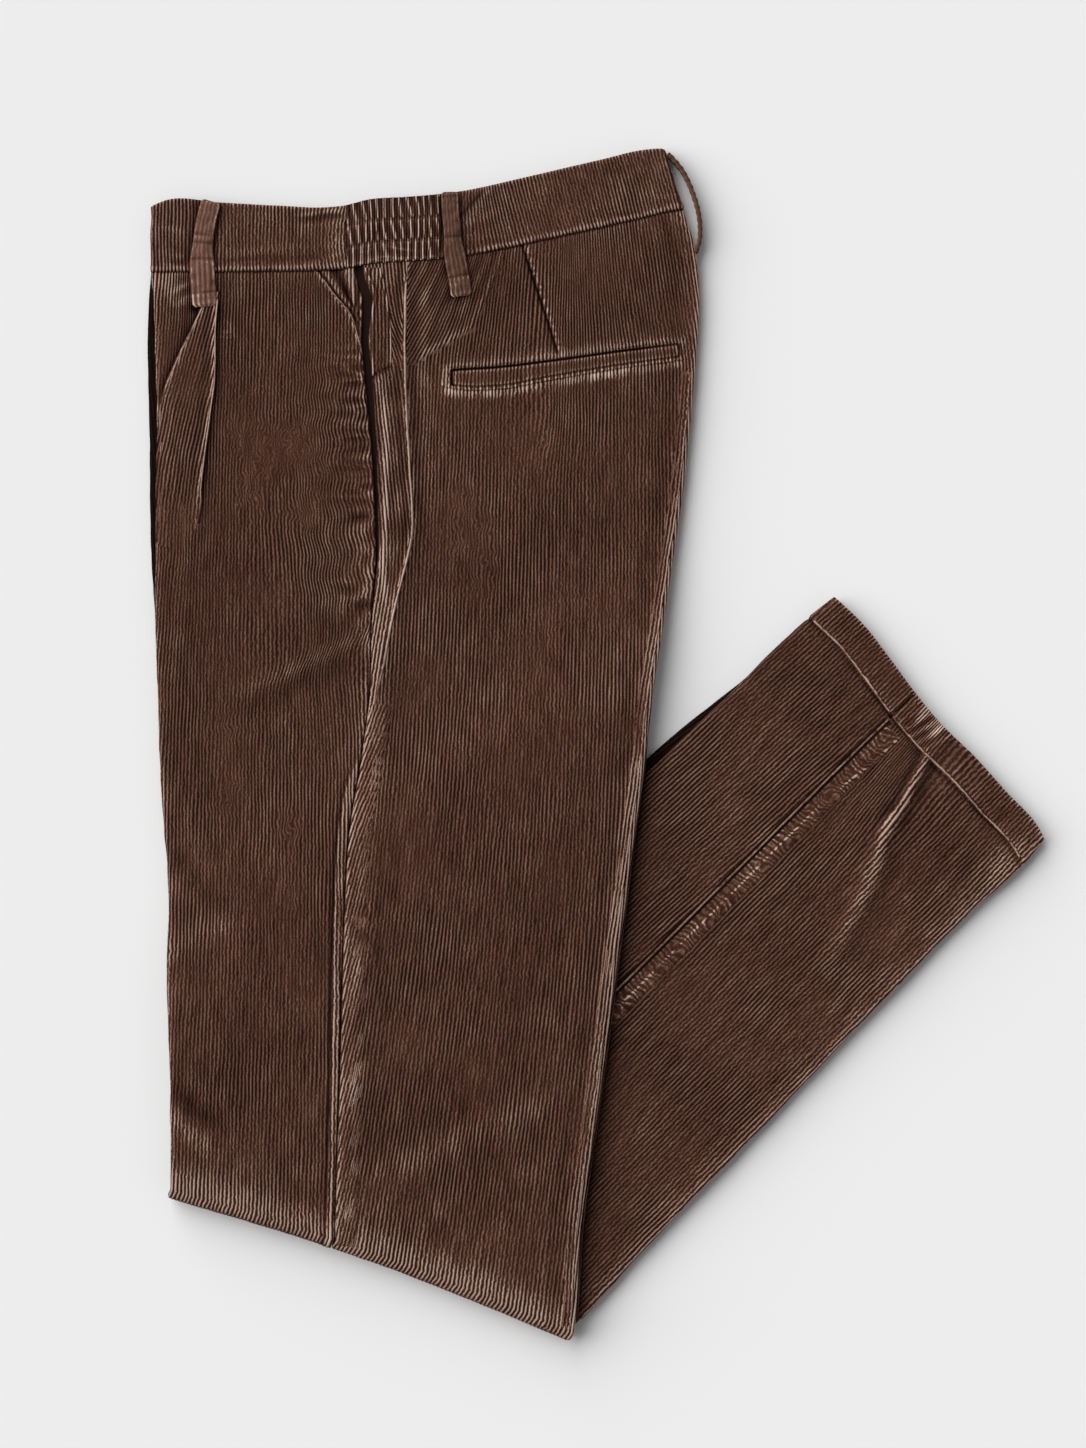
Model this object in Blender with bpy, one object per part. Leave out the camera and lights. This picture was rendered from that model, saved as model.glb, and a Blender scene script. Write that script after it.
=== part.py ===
"""Corduroy trousers lying folded side-on, both legs turned under at the knee.

The near leg lies on the far leg. At the knee both fold under along a slanting line, so below it
the far calf lies on the near calf and comes out to the right. Sizes are in millimetres here, and
the solids are written in metres, +Z up, with the floor at Z = 0 and the plan centred on X and Y.
"""

import bmesh
import bpy
import numpy as np

MM = 0.001

# Cloth and layers
WALL = 1.4  # corduroy
BAND_WALL = 1.9  # waistband, two layers of cloth
GAP = 0.3  # between pieces at a seam
LEG = 4.35  # one flattened leg, two walls and the air between them
STACK = 9.0  # two legs on each other
RISE = 9.4  # how high the thighs lie where the calves are under them
DRAPE = 100.0  # length over which they come down to the floor
DRAPE_START = 14.0  # which starts this far outside the calves
EDGE_RADIUS = LEG / 2  # round of a leg's folded edge
RETURN = 5.5  # how far a wall runs back in behind its folded edge
EDGE_STEPS = 4  # faces round a folded edge
EDGE_FADE = 12.0  # folds fade out next to a folded edge, over one part in this many of the width
BAND_PROUD = 0.3  # the near waistband stands this much above the panels
SHARP = np.radians(40.0)  # edges sharper than this are shaded as edges
MEET_ROUNDS = 40  # after which a panel's rows and columns meet to a thousandth of a millimetre

# Hidden layers
CORE_INSET = EDGE_RADIUS + RETURN + 1.3  # in from the folded edges
CORE_CORNER = 14.0  # more where the calves' front edge turns the corner at the knee
CORE_TOP = 2.4  # below the top of the stack
CORE_BOTTOM = 6.9
CORE_KNEE_BOTTOM = 8.7  # inside the fold, where the outer walls end
CORE_WAIST_FRONT = 3.0  # below the waistband's top edge, where the fly fronts are folded in
CORE_WAIST_BACK = 5.0  # and where they aren't
CORE_HEM = 2.5  # short of the hem
FLY_FOLD = -165.0  # how far the folded-in fronts reach, across
FLY_STEP = 12.0  # over which the one depth goes over to the other
# Edge of the hidden layers from the top down: how far it is drawn in, and at which share of their
# thickness. It is rounded above and below, with a groove between the two legs.
CORE_EDGE_COLUMNS = ("inset", "share")
CORE_EDGE = ((0.8, 0.0), (0.0, 0.2), (0.0, 0.44), (1.6, 0.5), (0.0, 0.56), (0.0, 0.8), (0.8, 1.0))

# Fold at the knee
BEND_RADIUS = (RISE + STACK) / 2  # outer face of the near leg, about the fold's axis
BEND_REACH = 6.0  # how far the fold bulges out in plan
FOLD_LEFT = (-242.3, -264.8)  # outermost line of the fold
FOLD_RIGHT = (-15.0, -346.1)
FOLD_HOLLOW = 5.0  # the line bows in by this much in the middle

# Calves: their axis lies at this angle, up to the right
CALF_TURN = np.radians(45.0)
HEM_WIDTH = 19.0
HEM_EASE = 4.0  # over which the cloth comes down beside the hem
HEM_STEP = 0.5  # the turned-up hem stands this much above the panel
NEAR_HEM_SHORT = 1.5  # the near calf's hem ends this much short of the far one's
FAR_CALF_START = 9.0  # the far calf starts this far from the fold line
KNEE_GAP = 0.8  # between the thighs and the calves, which meet under the fold
KNEE_EASE = 6.0  # over which the hidden layers widen into the fold
KNEE_CORNER = -280.0  # along the calves, where their front edge turns a corner
KNEE_CORNER_EASE = 30.0
KNEE_GUESS = -300.0  # about where the calves meet the fold line, along their axis

# Rows of the panels' faces, shared by the near, far and hidden layers so that all bend as one, and
# columns from the seam to the folded edge. A power above 1 sets columns closer at the seam.
THIGH_ROWS = 19  # from the waist to the knee
FAR_THIGH_END = 0.985  # the far walls end here, as a share of the same way
BEND_ROWS = 7  # round the fold
CALF_ROWS = 14
HEM_ROWS = (0.0, 0.02, 0.038)  # the hem's edge, middle and stitching, as shares of a calf's length
BAND_ROWS = 5
# Columns: panel, count, power
COLUMNS = (
    ("near_back_thigh", 16, 1.35),
    ("far_front_thigh", 8, 1.6),
    ("far_back_thigh", 9, 1.0),
    ("far_front_calf", 7, 1.0),
    ("far_back_calf", 12, 1.0),
    ("near_front_calf", 4, 1.0),
    ("near_back_calf", 5, 1.0),
    ("front_waistband", 7, 1.0),
    ("far_elastic_waistband", 7, 1.0),
    ("back_waistband", 11, 1.0),
    ("thigh_core", 12, 1.0),
    ("calf_core", 6, 1.0),
)
CLOSER = 1.5  # power that sets rows or columns closer towards their end
NEAR_FRONT_COLUMNS = 13  # these are set closer towards the folded edge, where the pleats are

# One row for each section of the thighs, from the waist to the knee. y is the section's place,
# the other columns are where its folded edges and its side seam lie across.
THIGH_COLUMNS = ("y", "near_front", "far_front", "front_seam", "back_seam", "near_back", "far_back")
THIGH_SECTIONS = (
    (345.0, -257.0, -256.5, -138.0, -135.4, 39.6, 39.4),
    (309.0, -257.6, -257.0, -138.0, -135.4, 50.8, 50.2),
    (287.0, -257.6, -258.0, -138.0, -135.4, 57.8, 57.0),
    (274.0, -257.4, -258.4, -139.0, -135.2, 59.3, 58.5),
    (259.0, -256.4, -259.6, -135.4, -130.0, 60.1, 59.3),
    (234.0, -255.6, -260.3, -135.6, -131.8, 59.0, 58.4),
    (212.0, -254.8, -260.0, -133.9, -129.6, 57.3, 56.8),
    (180.0, -253.9, -259.2, -130.6, -127.6, 54.4, 54.0),
    (140.0, -254.3, -258.9, -128.2, -126.4, 49.8, 49.5),
    (110.0, -255.1, -258.2, -127.6, -126.4, 45.3, 45.4),
    (72.0, -255.3, -255.9, -130.2, -129.8, 39.5, 39.8),
    (26.0, -253.9, -254.2, -131.6, -131.2, 32.2, 32.8),
    (-9.0, -252.6, -252.8, -136.4, -136.0, 28.4, 29.2),
    (-53.0, -250.3, -250.0, -143.4, -143.0, 22.2, 23.4),
    (-94.0, -247.7, -247.2, -145.6, -145.2, 16.8, 18.2),
    (-136.0, -247.9, -247.4, -147.0, -146.6, 10.9, 12.6),
    (-183.0, -246.6, -246.0, -148.2, -147.8, 4.9, 6.6),
    (-230.0, -245.8, -245.2, -149.8, -149.4, -1.9, 0.0),
    (-276.0, -246.4, -245.8, -151.2, -150.8, -8.2, -6.4),
    (-330.0, -246.4, -245.8, -151.6, -151.2, -11.6, -10.0),
    (-390.0, -246.4, -245.8, -151.6, -151.2, -16.5, -16.0),
)

# Waist: where the panels end and where the waistband ends, across.
WAIST_COLUMNS = ("x", "seam", "top")
WAIST_SECTIONS = (
    (-262.0, 273.9, 309.8),
    (-256.0, 273.9, 312.6),
    (-250.0, 273.9, 315.0),
    (-218.0, 273.9, 313.9),
    (-183.0, 274.4, 312.1),
    (-156.0, 275.0, 311.2),
    (-145.0, 276.0, 312.4),
    (-132.0, 278.4, 315.6),
    (-110.0, 280.2, 317.2),
    (-93.0, 281.2, 318.6),
    (-75.0, 283.2, 321.0),
    (-47.0, 288.7, 327.2),
    (-14.0, 296.0, 334.9),
    (5.0, 300.2, 339.3),
    (26.0, 305.0, 344.2),
    (38.0, 307.8, 345.2),
    (52.0, 310.4, 343.0),
    (64.0, 312.6, 341.0),
)
FRONT_BAND_END = -144.6
BACK_BAND_START = -91.0
ELASTIC_GATHERS = 12
GATHER_HEIGHT = 1.3
GATHER_FACES = 4  # across one gather

# Calves: along their axis from the knee to the hem, and across it.
CALF_COLUMNS = ("along", "far_front", "near_front", "seam", "far_back", "near_back")
CALF_SECTIONS = (
    (-362.0, -24.0, -23.0, -109.0, -229.4, -229.0),
    (-350.0, -6.0, -4.4, -109.0, -229.6, -229.2),
    (-335.0, 10.0, 11.6, -109.0, -229.8, -229.4),
    (-318.0, 23.6, 26.4, -109.0, -230.0, -229.6),
    (-300.0, 26.0, 30.2, -109.0, -230.2, -229.8),
    (-257.0, 18.6, 22.6, -109.0, -230.6, -230.2),
    (-200.0, 8.2, 12.3, -109.0, -227.6, -227.2),
    (-100.0, -9.8, -5.8, -109.0, -225.6, -225.2),
    (0.0, -32.0, -25.6, -109.0, -223.2, -222.8),
    (36.0, -33.4, -27.4, -109.0, -222.8, -222.4),
    (62.0, -34.2, -29.4, -109.0, -222.2, -221.8),
    (84.0, -34.4, -34.2, -109.0, -222.4, -222.0),
    (120.0, -34.2, -34.4, -109.2, -224.8, -224.2),
    (145.0, -36.2, -36.6, -109.8, -222.6, -222.0),
    (165.0, -38.6, -39.0, -110.2, -221.6, -221.0),
)
HEM_COLUMNS = ("across", "along")
HEM_SECTIONS = (
    (-224.0, 144.6),
    (-216.0, 147.2),
    (-187.0, 148.8),
    (-160.0, 150.2),
    (-134.0, 149.8),
    (-110.0, 152.0),
    (-86.0, 155.6),
    (-60.0, 158.8),
    (-36.0, 158.2),
)

# Line on the floor where the calves' front edge lies under the thighs
CALF_LINE_A = (-245.2, -198.8)
CALF_LINE_B = (27.4, -9.7)

# Largest folds: soft ridges (height above 0) or troughs (below 0) along a line. The fold fades
# over the share `fade` of its length at each end. On the calves x is across and y along them.
FOLD_COLUMNS = ("x0", "y0", "x1", "y1", "height", "width", "fade")
FRONT_FOLDS = (
    (-229.0, 262.0, -252.0, 196.0, 1.6, 4.5, 0.25),
    (-234.5, 258.0, -257.0, 192.0, -0.6, 3.5, 0.25),
    (-219.5, 246.0, -231.0, 122.0, 1.5, 4.5, 0.3),
    (-212.5, 236.0, -224.0, 118.0, -0.5, 5.0, 0.3),
)
BACK_FOLDS = (
    (-110.5, 262.0, -107.0, 112.0, 1.8, 5.0, 0.2),
    (-121.5, 205.0, -120.5, 84.0, 1.1, 4.0, 0.3),
    (-115.5, 250.0, -113.5, 110.0, -0.5, 3.5, 0.3),
    (-98.0, 276.0, -101.0, 205.0, 1.0, 4.5, 0.3),
    (-122.0, 64.0, -142.0, -250.0, 0.9, 6.0, 0.1),
    (-106.0, 70.0, -126.0, -240.0, -0.3, 9.0, 0.2),
    (-41.0, 284.0, -21.5, 226.0, -0.5, 4.0, 0.2),
)
CALF_FOLDS = (
    (-139.0, 132.0, -155.0, 84.0, 2.0, 5.5, 0.2),
    (-152.0, 96.0, -187.0, 2.0, 1.4, 8.0, 0.3),
    (-118.5, 118.0, -120.0, -110.0, 0.8, 5.0, 0.15),
    (-138.0, 150.0, -140.0, 130.0, 1.2, 6.0, 0.3),
)

# Belt loops: middle line on the cloth from the waistband down, and how far it stands clear
LOOP_COLUMNS = ("x", "y", "clear")
FRONT_LOOP = (
    (-222.6, 314.4, 0.5),
    (-224.2, 309.0, 0.9),
    (-226.4, 298.0, 1.5),
    (-227.9, 284.0, 1.3),
    (-227.7, 272.0, 1.1),
    (-227.0, 262.0, 0.7),
    (-226.4, 253.5, 0.3),
)
FRONT_LOOP_WIDTH = 14.0
SIDE_LOOP = (
    (-84.6, 319.8, 0.5),
    (-84.4, 312.0, 0.9),
    (-83.4, 301.0, 1.6),
    (-82.4, 288.0, 1.3),
    (-80.6, 277.0, 1.0),
    (-78.6, 266.0, 0.6),
    (-77.8, 259.5, 0.3),
)
SIDE_LOOP_WIDTH = 11.6
LOOP_THICKNESS = 1.5
LOOP_CROWN = 0.4  # the middle stands this much above the edges
LOOP_LENGTH_POINTS = 13
LOOP_WIDTH_POINTS = 5
# The loop at the centre back stands out from the folded edge: outer line of its arch
BACK_LOOP_COLUMNS = ("x", "y")
BACK_LOOP = (
    (42.7, 342.9),
    (45.8, 339.7),
    (50.2, 334.4),
    (54.4, 327.0),
    (57.6, 319.0),
    (60.5, 309.0),
    (61.6, 297.6),
    (61.0, 290.8),
    (59.1, 284.9),
)
BACK_LOOP_THICKNESS = 2.2
BACK_LOOP_LEVELS = (0.0, 5.5, 11.0)  # its lower edge, middle and upper edge

# Back pocket: a welt along a nearly level mouth
WELT_COLUMNS = ("x", "low", "high")
WELT = (
    (-89.6, 207.9, 217.2),
    (-83.0, 206.2, 218.0),
    (-57.0, 205.6, 219.8),
    (-25.0, 211.2, 223.6),
    (12.0, 217.4, 228.8),
    (50.6, 222.6, 233.6),
)
WELT_THICKNESS = 1.3
WELT_POINTS = (12, 3)  # along and across

# Side pocket facing: the strip that shows beside the pocket mouth
FACING_COLUMNS = ("y", "inner", "outer")
FACING = (
    (276.0, -134.6, -124.5),
    (262.0, -129.4, -121.0),
    (248.0, -130.4, -119.0),
    (234.0, -131.4, -118.0),
    (217.0, -129.8, -117.6),
)
FACING_THICKNESS = 0.9
FACING_POINTS = (9, 4)

CORDUROY = ("corduroy_brown", (0.076, 0.032, 0.022, 1.0), 0.9)
INSIDE = ("corduroy_inside", (0.050, 0.022, 0.016, 1.0), 0.95)


# ---------------------------------------------------------------- tables and curves


def column(rows, names, name):
    return np.array([row[names.index(name)] for row in rows], float)


def cubic(at, value):
    """A smooth curve through value against at: cubic pieces that share their slopes."""
    slope = np.gradient(value, at)

    def read(t):
        t = np.clip(np.asarray(t, float), at[0], at[-1])
        i = np.clip(np.searchsorted(at, t) - 1, 0, len(at) - 2)
        step = at[i + 1] - at[i]
        s = (t - at[i]) / step
        level = value[i] * (1 + 2 * s) * (1 - s) ** 2 + value[i + 1] * s**2 * (3 - 2 * s)
        return level + step * (slope[i] * s * (1 - s) ** 2 - slope[i + 1] * s**2 * (1 - s))

    return read


def curve(rows, names, key, name):
    """One column of a table against another, as a smooth curve."""
    at = column(rows, names, key)
    order = np.argsort(at)
    return cubic(at[order], column(rows, names, name)[order])


def smooth(t):
    t = np.clip(t, 0.0, 1.0)
    return t * t * (3 - 2 * t)


THIGH = {name: curve(THIGH_SECTIONS, THIGH_COLUMNS, "y", name) for name in THIGH_COLUMNS[1:]}
CALF = {name: curve(CALF_SECTIONS, CALF_COLUMNS, "along", name) for name in CALF_COLUMNS[1:]}
WAIST_SEAM = curve(WAIST_SECTIONS, WAIST_COLUMNS, "x", "seam")
WAIST_TOP = curve(WAIST_SECTIONS, WAIST_COLUMNS, "x", "top")
HEM_END = curve(HEM_SECTIONS, HEM_COLUMNS, "across", "along")

FOLD_SLOPE = (FOLD_RIGHT[1] - FOLD_LEFT[1]) / (FOLD_RIGHT[0] - FOLD_LEFT[0])
FOLD_COS = 1 / np.hypot(1, FOLD_SLOPE)
FOLD_OUT = np.array([FOLD_SLOPE, -1.0]) * FOLD_COS  # in plan, away from the thighs


def fold_start(x):
    """Where the thighs start to bend under, along x."""
    share = np.clip((x - FOLD_LEFT[0]) / (FOLD_RIGHT[0] - FOLD_LEFT[0]), 0, 1)
    line = FOLD_LEFT[1] + FOLD_SLOPE * (x - FOLD_LEFT[0])
    return line + BEND_REACH / FOLD_COS + FOLD_HOLLOW * np.sin(np.pi * share)


def calf_to_plan(along, across):
    c = np.cos(CALF_TURN)
    s = np.sin(CALF_TURN)
    return along * c - across * s, along * s + across * c


def calf_knee(across):
    """Where the calves start at the knee, along their axis: the fold line in the calf's own terms,
    found by stepping along the axis to the straight fold line until the bowed one is met."""
    rate = np.sin(CALF_TURN) - FOLD_SLOPE * np.cos(CALF_TURN)
    along = np.full(np.shape(across), KNEE_GUESS)
    for _ in range(MEET_ROUNDS):
        x, y = calf_to_plan(along, across)
        along = along + (fold_start(x) - y) / rate
    return along


def rest_height(x, y):
    """How high the thighs' underside lies: raised where the calves are under them, then down."""
    ax, ay = CALF_LINE_A
    bx, by = CALF_LINE_B
    length = np.hypot(bx - ax, by - ay)
    off = ((x - ax) * -(by - ay) + (y - ay) * (bx - ax)) / length
    return RISE * smooth(1 - (off - DRAPE_START) / DRAPE)


def folds(rows, a, b):
    """Sum of soft ridges: each falls off as a bell across its line and fades at both ends."""
    total = np.zeros(np.broadcast(a, b).shape)
    for row in rows:
        fold = dict(zip(FOLD_COLUMNS, row))
        run_x = fold["x1"] - fold["x0"]
        run_y = fold["y1"] - fold["y0"]
        from_x = a - fold["x0"]
        from_y = b - fold["y0"]
        length = np.hypot(run_x, run_y)
        along = (from_x * run_x + from_y * run_y) / length**2
        off = (from_y * run_x - from_x * run_y) / length
        ends = smooth(along / fold["fade"] + 0.5) * smooth((1 - along) / fold["fade"] + 0.5)
        total = total + fold["height"] * np.exp(-((off / fold["width"]) ** 2)) * ends
    return total


# ---------------------------------------------------------------- laying the cloth


def past_fold(x, y):
    return (fold_start(x) - y) * FOLD_COS


def lay_near_thigh(x, y, depth):
    """From a place in plan and a depth below the stack's top to a point. The thighs follow what
    they lie on, and past the fold line they turn half round the fold's axis."""
    past = past_fold(x, y)
    height = rest_height(x, y) + STACK - depth
    turn = np.clip(past / BEND_RADIUS, 0, np.pi)
    radius = height - BEND_RADIUS
    out = BEND_REACH / BEND_RADIUS * radius * np.sin(turn)
    foot = np.where(past > 0, fold_start(x), y)
    z = np.where(past > 0, BEND_RADIUS + radius * np.cos(turn), height)
    return np.stack([x + FOLD_OUT[0] * out, foot + FOLD_OUT[1] * out, z], axis=-1)


def lay_far_thigh(x, y, depth):
    return lay_near_thigh(x, y, STACK - depth)


def lay_far_calf(across, along, depth):
    x, y = calf_to_plan(along, across)
    return np.stack([x, y, STACK - depth + 0 * x], axis=-1)


def lay_near_calf(across, along, depth):
    return lay_far_calf(across, along, STACK - depth)


def meet(seam, edge, place, u, v):
    """Points of a four-sided panel. u runs from seam(b) to edge(b), and place(v, a) gives b."""
    a = seam(0.0) + (edge(0.0) - seam(0.0)) * u
    b = place(v, a)
    for _ in range(MEET_ROUNDS):
        a = seam(b) + (edge(b) - seam(b)) * u
        b = place(v, a)
    return a, b


def between(high, low):
    """Places rows from high(a) at v = 0 to low(a) at v = 1."""
    return lambda v, a: high(a) + (low(a) - high(a)) * v


def down_thigh(high, above=None):
    """Places rows from high(x) at v = 0 to the fold line at v = 1, then round half a turn at v = 2.
    v = -1 is at above(x)."""
    half_turn = np.pi * BEND_RADIUS / FOLD_COS

    def place(v, x):
        level = high(x) + (fold_start(x) - high(x)) * np.clip(v, 0, 1)
        if above:
            level = level + (above(x) - high(x)) * np.maximum(-v, 0)
        return level - half_turn * np.maximum(v - 1, 0)

    return place


# ---------------------------------------------------------------- solids


def material(name, colour, roughness):
    found = bpy.data.materials.get(name)
    if found:
        return found
    made = bpy.data.materials.new(name)
    made.use_nodes = True
    shader = made.node_tree.nodes["Principled BSDF"]
    shader.inputs["Base Color"].default_value = colour
    shader.inputs["Roughness"].default_value = roughness
    shader.inputs["Metallic"].default_value = 0.0
    made.diffuse_color = colour
    return made


def add_solid(name, points, faces, finish):
    mesh = bpy.data.meshes.new(name)
    mesh.from_pydata((points * MM).tolist(), [], faces.tolist())
    shaped = bmesh.new()
    shaped.from_mesh(mesh)
    bmesh.ops.recalc_face_normals(shaped, faces=shaped.faces)
    shaped.to_mesh(mesh)
    shaped.free()
    mesh.shade_smooth()
    mesh.set_sharp_from_angle(angle=SHARP)
    mesh.materials.append(material(*finish))
    solid = bpy.data.objects.new(name, mesh)
    bpy.context.scene.collection.objects.link(solid)
    return solid


def quads(index):
    corners = (index[:-1, :-1], index[1:, :-1], index[1:, 1:], index[:-1, 1:])
    return np.stack([corner.reshape(-1) for corner in corners], axis=1)


def around(index):
    return np.concatenate([index[0, :], index[1:, -1], index[-1, -2::-1], index[-2:0:-1, 0]])


def joined(ring, other):
    return np.stack([ring, np.roll(ring, -1), np.roll(other, -1), other], axis=1)


def stacked_solid(name, layers, finish=CORDUROY):
    """A solid from grids of points of one size: the first and last are its two faces, and the rims
    of all of them, one after the other, make its edge."""
    rows, cols = layers[0].shape[:2]
    points = [layers[0].reshape(-1, 3)]
    index = np.arange(rows * cols).reshape(rows, cols)
    faces = [quads(index)]
    ring = around(index)
    used = rows * cols
    for layer in layers[1:-1]:
        points.append(layer.reshape(-1, 3)[around(index)])
        other = used + np.arange(len(ring))
        faces.append(joined(ring, other))
        ring = other
        used += len(other)
    points.append(layers[-1].reshape(-1, 3))
    faces.append(joined(ring, used + around(index)))
    faces.append(quads(index + used)[:, ::-1])
    return add_solid(name, np.concatenate(points), np.concatenate(faces), finish)


def rolled(wall):
    """Section of a wall round a folded edge: rows of (outwards, outer depth, inwards, inner depth).
    Half a turn of EDGE_RADIUS, then a short run back in."""
    inner = EDGE_RADIUS - wall
    turn = np.linspace(0, np.pi, EDGE_STEPS + 1)[1:]
    section = np.stack(
        [
            EDGE_RADIUS * np.sin(turn),
            EDGE_RADIUS * (1 - np.cos(turn)),
            inner * np.sin(turn),
            EDGE_RADIUS - inner * np.cos(turn),
        ],
        axis=1,
    )
    end = [[-RETURN, 2 * EDGE_RADIUS, -RETURN, EDGE_RADIUS + inner]]
    return np.concatenate([section, end])


def panel(name, lay, seam, edge, side, place, us, vs, wall, relief=None, proud=0.0):
    """A wall from a seam to a folded edge and round it. side is 1 where the edge is at the higher
    value across and -1 at the lower one. relief lifts the cloth, and so does proud."""
    roll = rolled(wall)
    u = np.concatenate([us, np.ones(len(roll))])
    v = np.asarray(vs)[:, None] + 0 * u
    u = u + 0 * v
    a, b = meet(seam, lambda t: edge(t) - side * EDGE_RADIUS, place, u, v)
    flat = np.zeros(len(us))
    out_a = np.concatenate([flat, roll[:, 0]])
    out_depth = np.concatenate([flat, roll[:, 1]])
    in_a = np.concatenate([flat, roll[:, 2]])
    in_depth = np.concatenate([flat + wall, roll[:, 3]])
    lift = proud + 0 * u
    if relief:
        lift = lift + relief(a, b) * smooth((1 - u) * EDGE_FADE)
    lift[:, len(us) :] *= (1 - out_depth[len(us) :] / EDGE_RADIUS)[None, :].clip(0)
    outer = lay(a + side * out_a, place(v, a + side * out_a), out_depth - lift)
    inner = lay(a + side * in_a, place(v, a + side * in_a), in_depth - lift)
    return stacked_solid(name, [outer, inner])


def strip(name, lay, left, right, place, us, vs, depths, finish=CORDUROY):
    """A plain wall between left(b) and right(b), with depths(a, b) giving its two faces."""
    v = np.asarray(vs)[:, None] + 0 * np.asarray(us)
    u = np.asarray(us)[None, :] + 0 * v
    a, b = meet(left, right, place, u, v)
    return stacked_solid(name, [lay(a, b, depth) for depth in depths(a, b)], finish)


def core(name, lay, left, right, place, us, vs, depths):
    """The hidden layers as one rounded solid. Each row of CORE_EDGE moves its edge in and says how
    far down it lies between depths(a, b), so a groove parts the layers at the edge."""
    u = np.asarray(us)[None, :] + 0 * np.asarray(vs)[:, None]
    v = np.asarray(vs)[:, None] + 0 * u
    layers = []
    insets = column(CORE_EDGE, CORE_EDGE_COLUMNS, "inset")
    shares = column(CORE_EDGE, CORE_EDGE_COLUMNS, "share")
    for inset, share in zip(insets, shares):
        a, b = meet(lambda t: left(t) + inset, lambda t: right(t) - inset, place, u, v)
        ends = np.zeros(b.shape)
        ends[0] = -inset
        ends[-1] = inset
        b = b + ends * np.sign(b[0, 0] - b[-1, 0])
        high, low = depths(a, b)
        layers.append(lay(a, b, high + (low - high) * share))
    return stacked_solid(name, layers, INSIDE)


def ribbon(name, path, width, thickness, relief):
    """A belt loop: a flat strip along a path, a little crowned across."""
    x, y, clear = resample(path, LOOP_COLUMNS, LOOP_LENGTH_POINTS)
    along = np.stack([np.gradient(x), np.gradient(y)])
    along = along / np.hypot(*along)
    across = np.linspace(-0.5, 0.5, LOOP_WIDTH_POINTS)[None, :]
    a = x[:, None] - along[1][:, None] * across * width
    b = y[:, None] + along[0][:, None] * across * width
    crown = LOOP_CROWN * (1 - (2 * across) ** 4)
    lift = BAND_PROUD + clear[:, None] + relief(a, b)
    outer = lay_near_thigh(a, b, -lift - thickness - crown)
    inner = lay_near_thigh(a, b, -lift - 0 * crown)
    return stacked_solid(name, [outer, inner])


def resample(rows, names, count):
    """Columns of a path, read at even steps along it from cubic pieces through its points."""
    steps = np.hypot(np.diff(column(rows, names, "x")), np.diff(column(rows, names, "y")))
    at = np.concatenate([[0], np.cumsum(steps)])
    even = np.linspace(0, at[-1], count)
    return [cubic(at, column(rows, names, name))(even) for name in names]


# ---------------------------------------------------------------- legs


def evenly(count, power=1.0):
    return np.linspace(0, 1, count) ** power


def closer_at_end(count):
    """Shares from 0 to 1 that lie closer to each other towards 1."""
    return 1 - evenly(count, CLOSER)[::-1]


def columns_of(name):
    row = COLUMNS[[panel_row[0] for panel_row in COLUMNS].index(name)]
    return evenly(*row[1:])


def thigh_rows():
    return np.append(evenly(THIGH_ROWS)[:-1], FAR_THIGH_END)


def front_relief(x, y):
    return folds(FRONT_FOLDS, x, y)


def back_relief(x, y):
    return folds(BACK_FOLDS, x, y)


def calf_relief(across, along):
    hem = smooth((along - HEM_END(across) + HEM_WIDTH) / HEM_EASE)
    return folds(CALF_FOLDS, across, along) + HEM_STEP * hem


def near_thigh_top(x):
    return WAIST_SEAM(x) - GAP / 2


def far_thigh_top(x):
    return WAIST_SEAM(x) - GAP


def before_back_seam(y):
    return THIGH["back_seam"](y) - GAP


def build_near_thighs():
    rows = np.concatenate([thigh_rows(), 1 + evenly(BEND_ROWS)])
    place = down_thigh(near_thigh_top)
    front = (THIGH["front_seam"], THIGH["near_front"], -1)
    back = (THIGH["back_seam"], THIGH["near_back"], 1)
    front_columns = closer_at_end(NEAR_FRONT_COLUMNS)
    back_columns = columns_of("near_back_thigh")
    lay = lay_near_thigh
    panel("near_front_thigh", lay, *front, place, front_columns, rows, WALL, front_relief)
    panel("near_back_thigh", lay, *back, place, back_columns, rows, WALL, back_relief)


def build_far_thighs():
    place = down_thigh(far_thigh_top)
    sides = {
        "far_front_thigh": (before_back_seam, THIGH["far_front"], -1),
        "far_back_thigh": (THIGH["back_seam"], THIGH["far_back"], 1),
    }
    for name, side in sides.items():
        panel(name, lay_far_thigh, *side, place, columns_of(name), thigh_rows(), WALL)


def before_front_seam(along):
    return CALF["seam"](along) + GAP


def near_hem(across):
    return HEM_END(across) - NEAR_HEM_SHORT


def calf_start(gap):
    """Where a calf's layer starts: that far from the fold line."""
    return lambda across: calf_knee(across) + gap


def build_calves():
    hem_share = HEM_ROWS[-1]
    far_rows = np.append(HEM_ROWS[:-1], hem_share + (1 - hem_share) * closer_at_end(CALF_ROWS))
    near_rows = closer_at_end(CALF_ROWS)
    far_place = between(HEM_END, calf_start(FAR_CALF_START))
    near_place = between(near_hem, calf_start(KNEE_GAP))
    seams = {"front": (before_front_seam, 1), "back": (CALF["seam"], -1)}
    for part, (seam, side) in seams.items():
        far = f"far_{part}"
        near = f"near_{part}"
        panel(
            f"{far}_calf", lay_far_calf, seam, CALF[far], side, far_place,
            columns_of(f"{far}_calf"), far_rows, WALL, calf_relief,
        )
        panel(
            f"{near}_calf", lay_near_calf, seam, CALF[near], side, near_place,
            columns_of(f"{near}_calf"), near_rows, WALL,
        )


# ---------------------------------------------------------------- hidden layers


def core_waist(x):
    fly = smooth((x - FLY_FOLD) / FLY_STEP)
    return WAIST_TOP(x) - CORE_WAIST_FRONT - (CORE_WAIST_BACK - CORE_WAIST_FRONT) * fly


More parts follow.
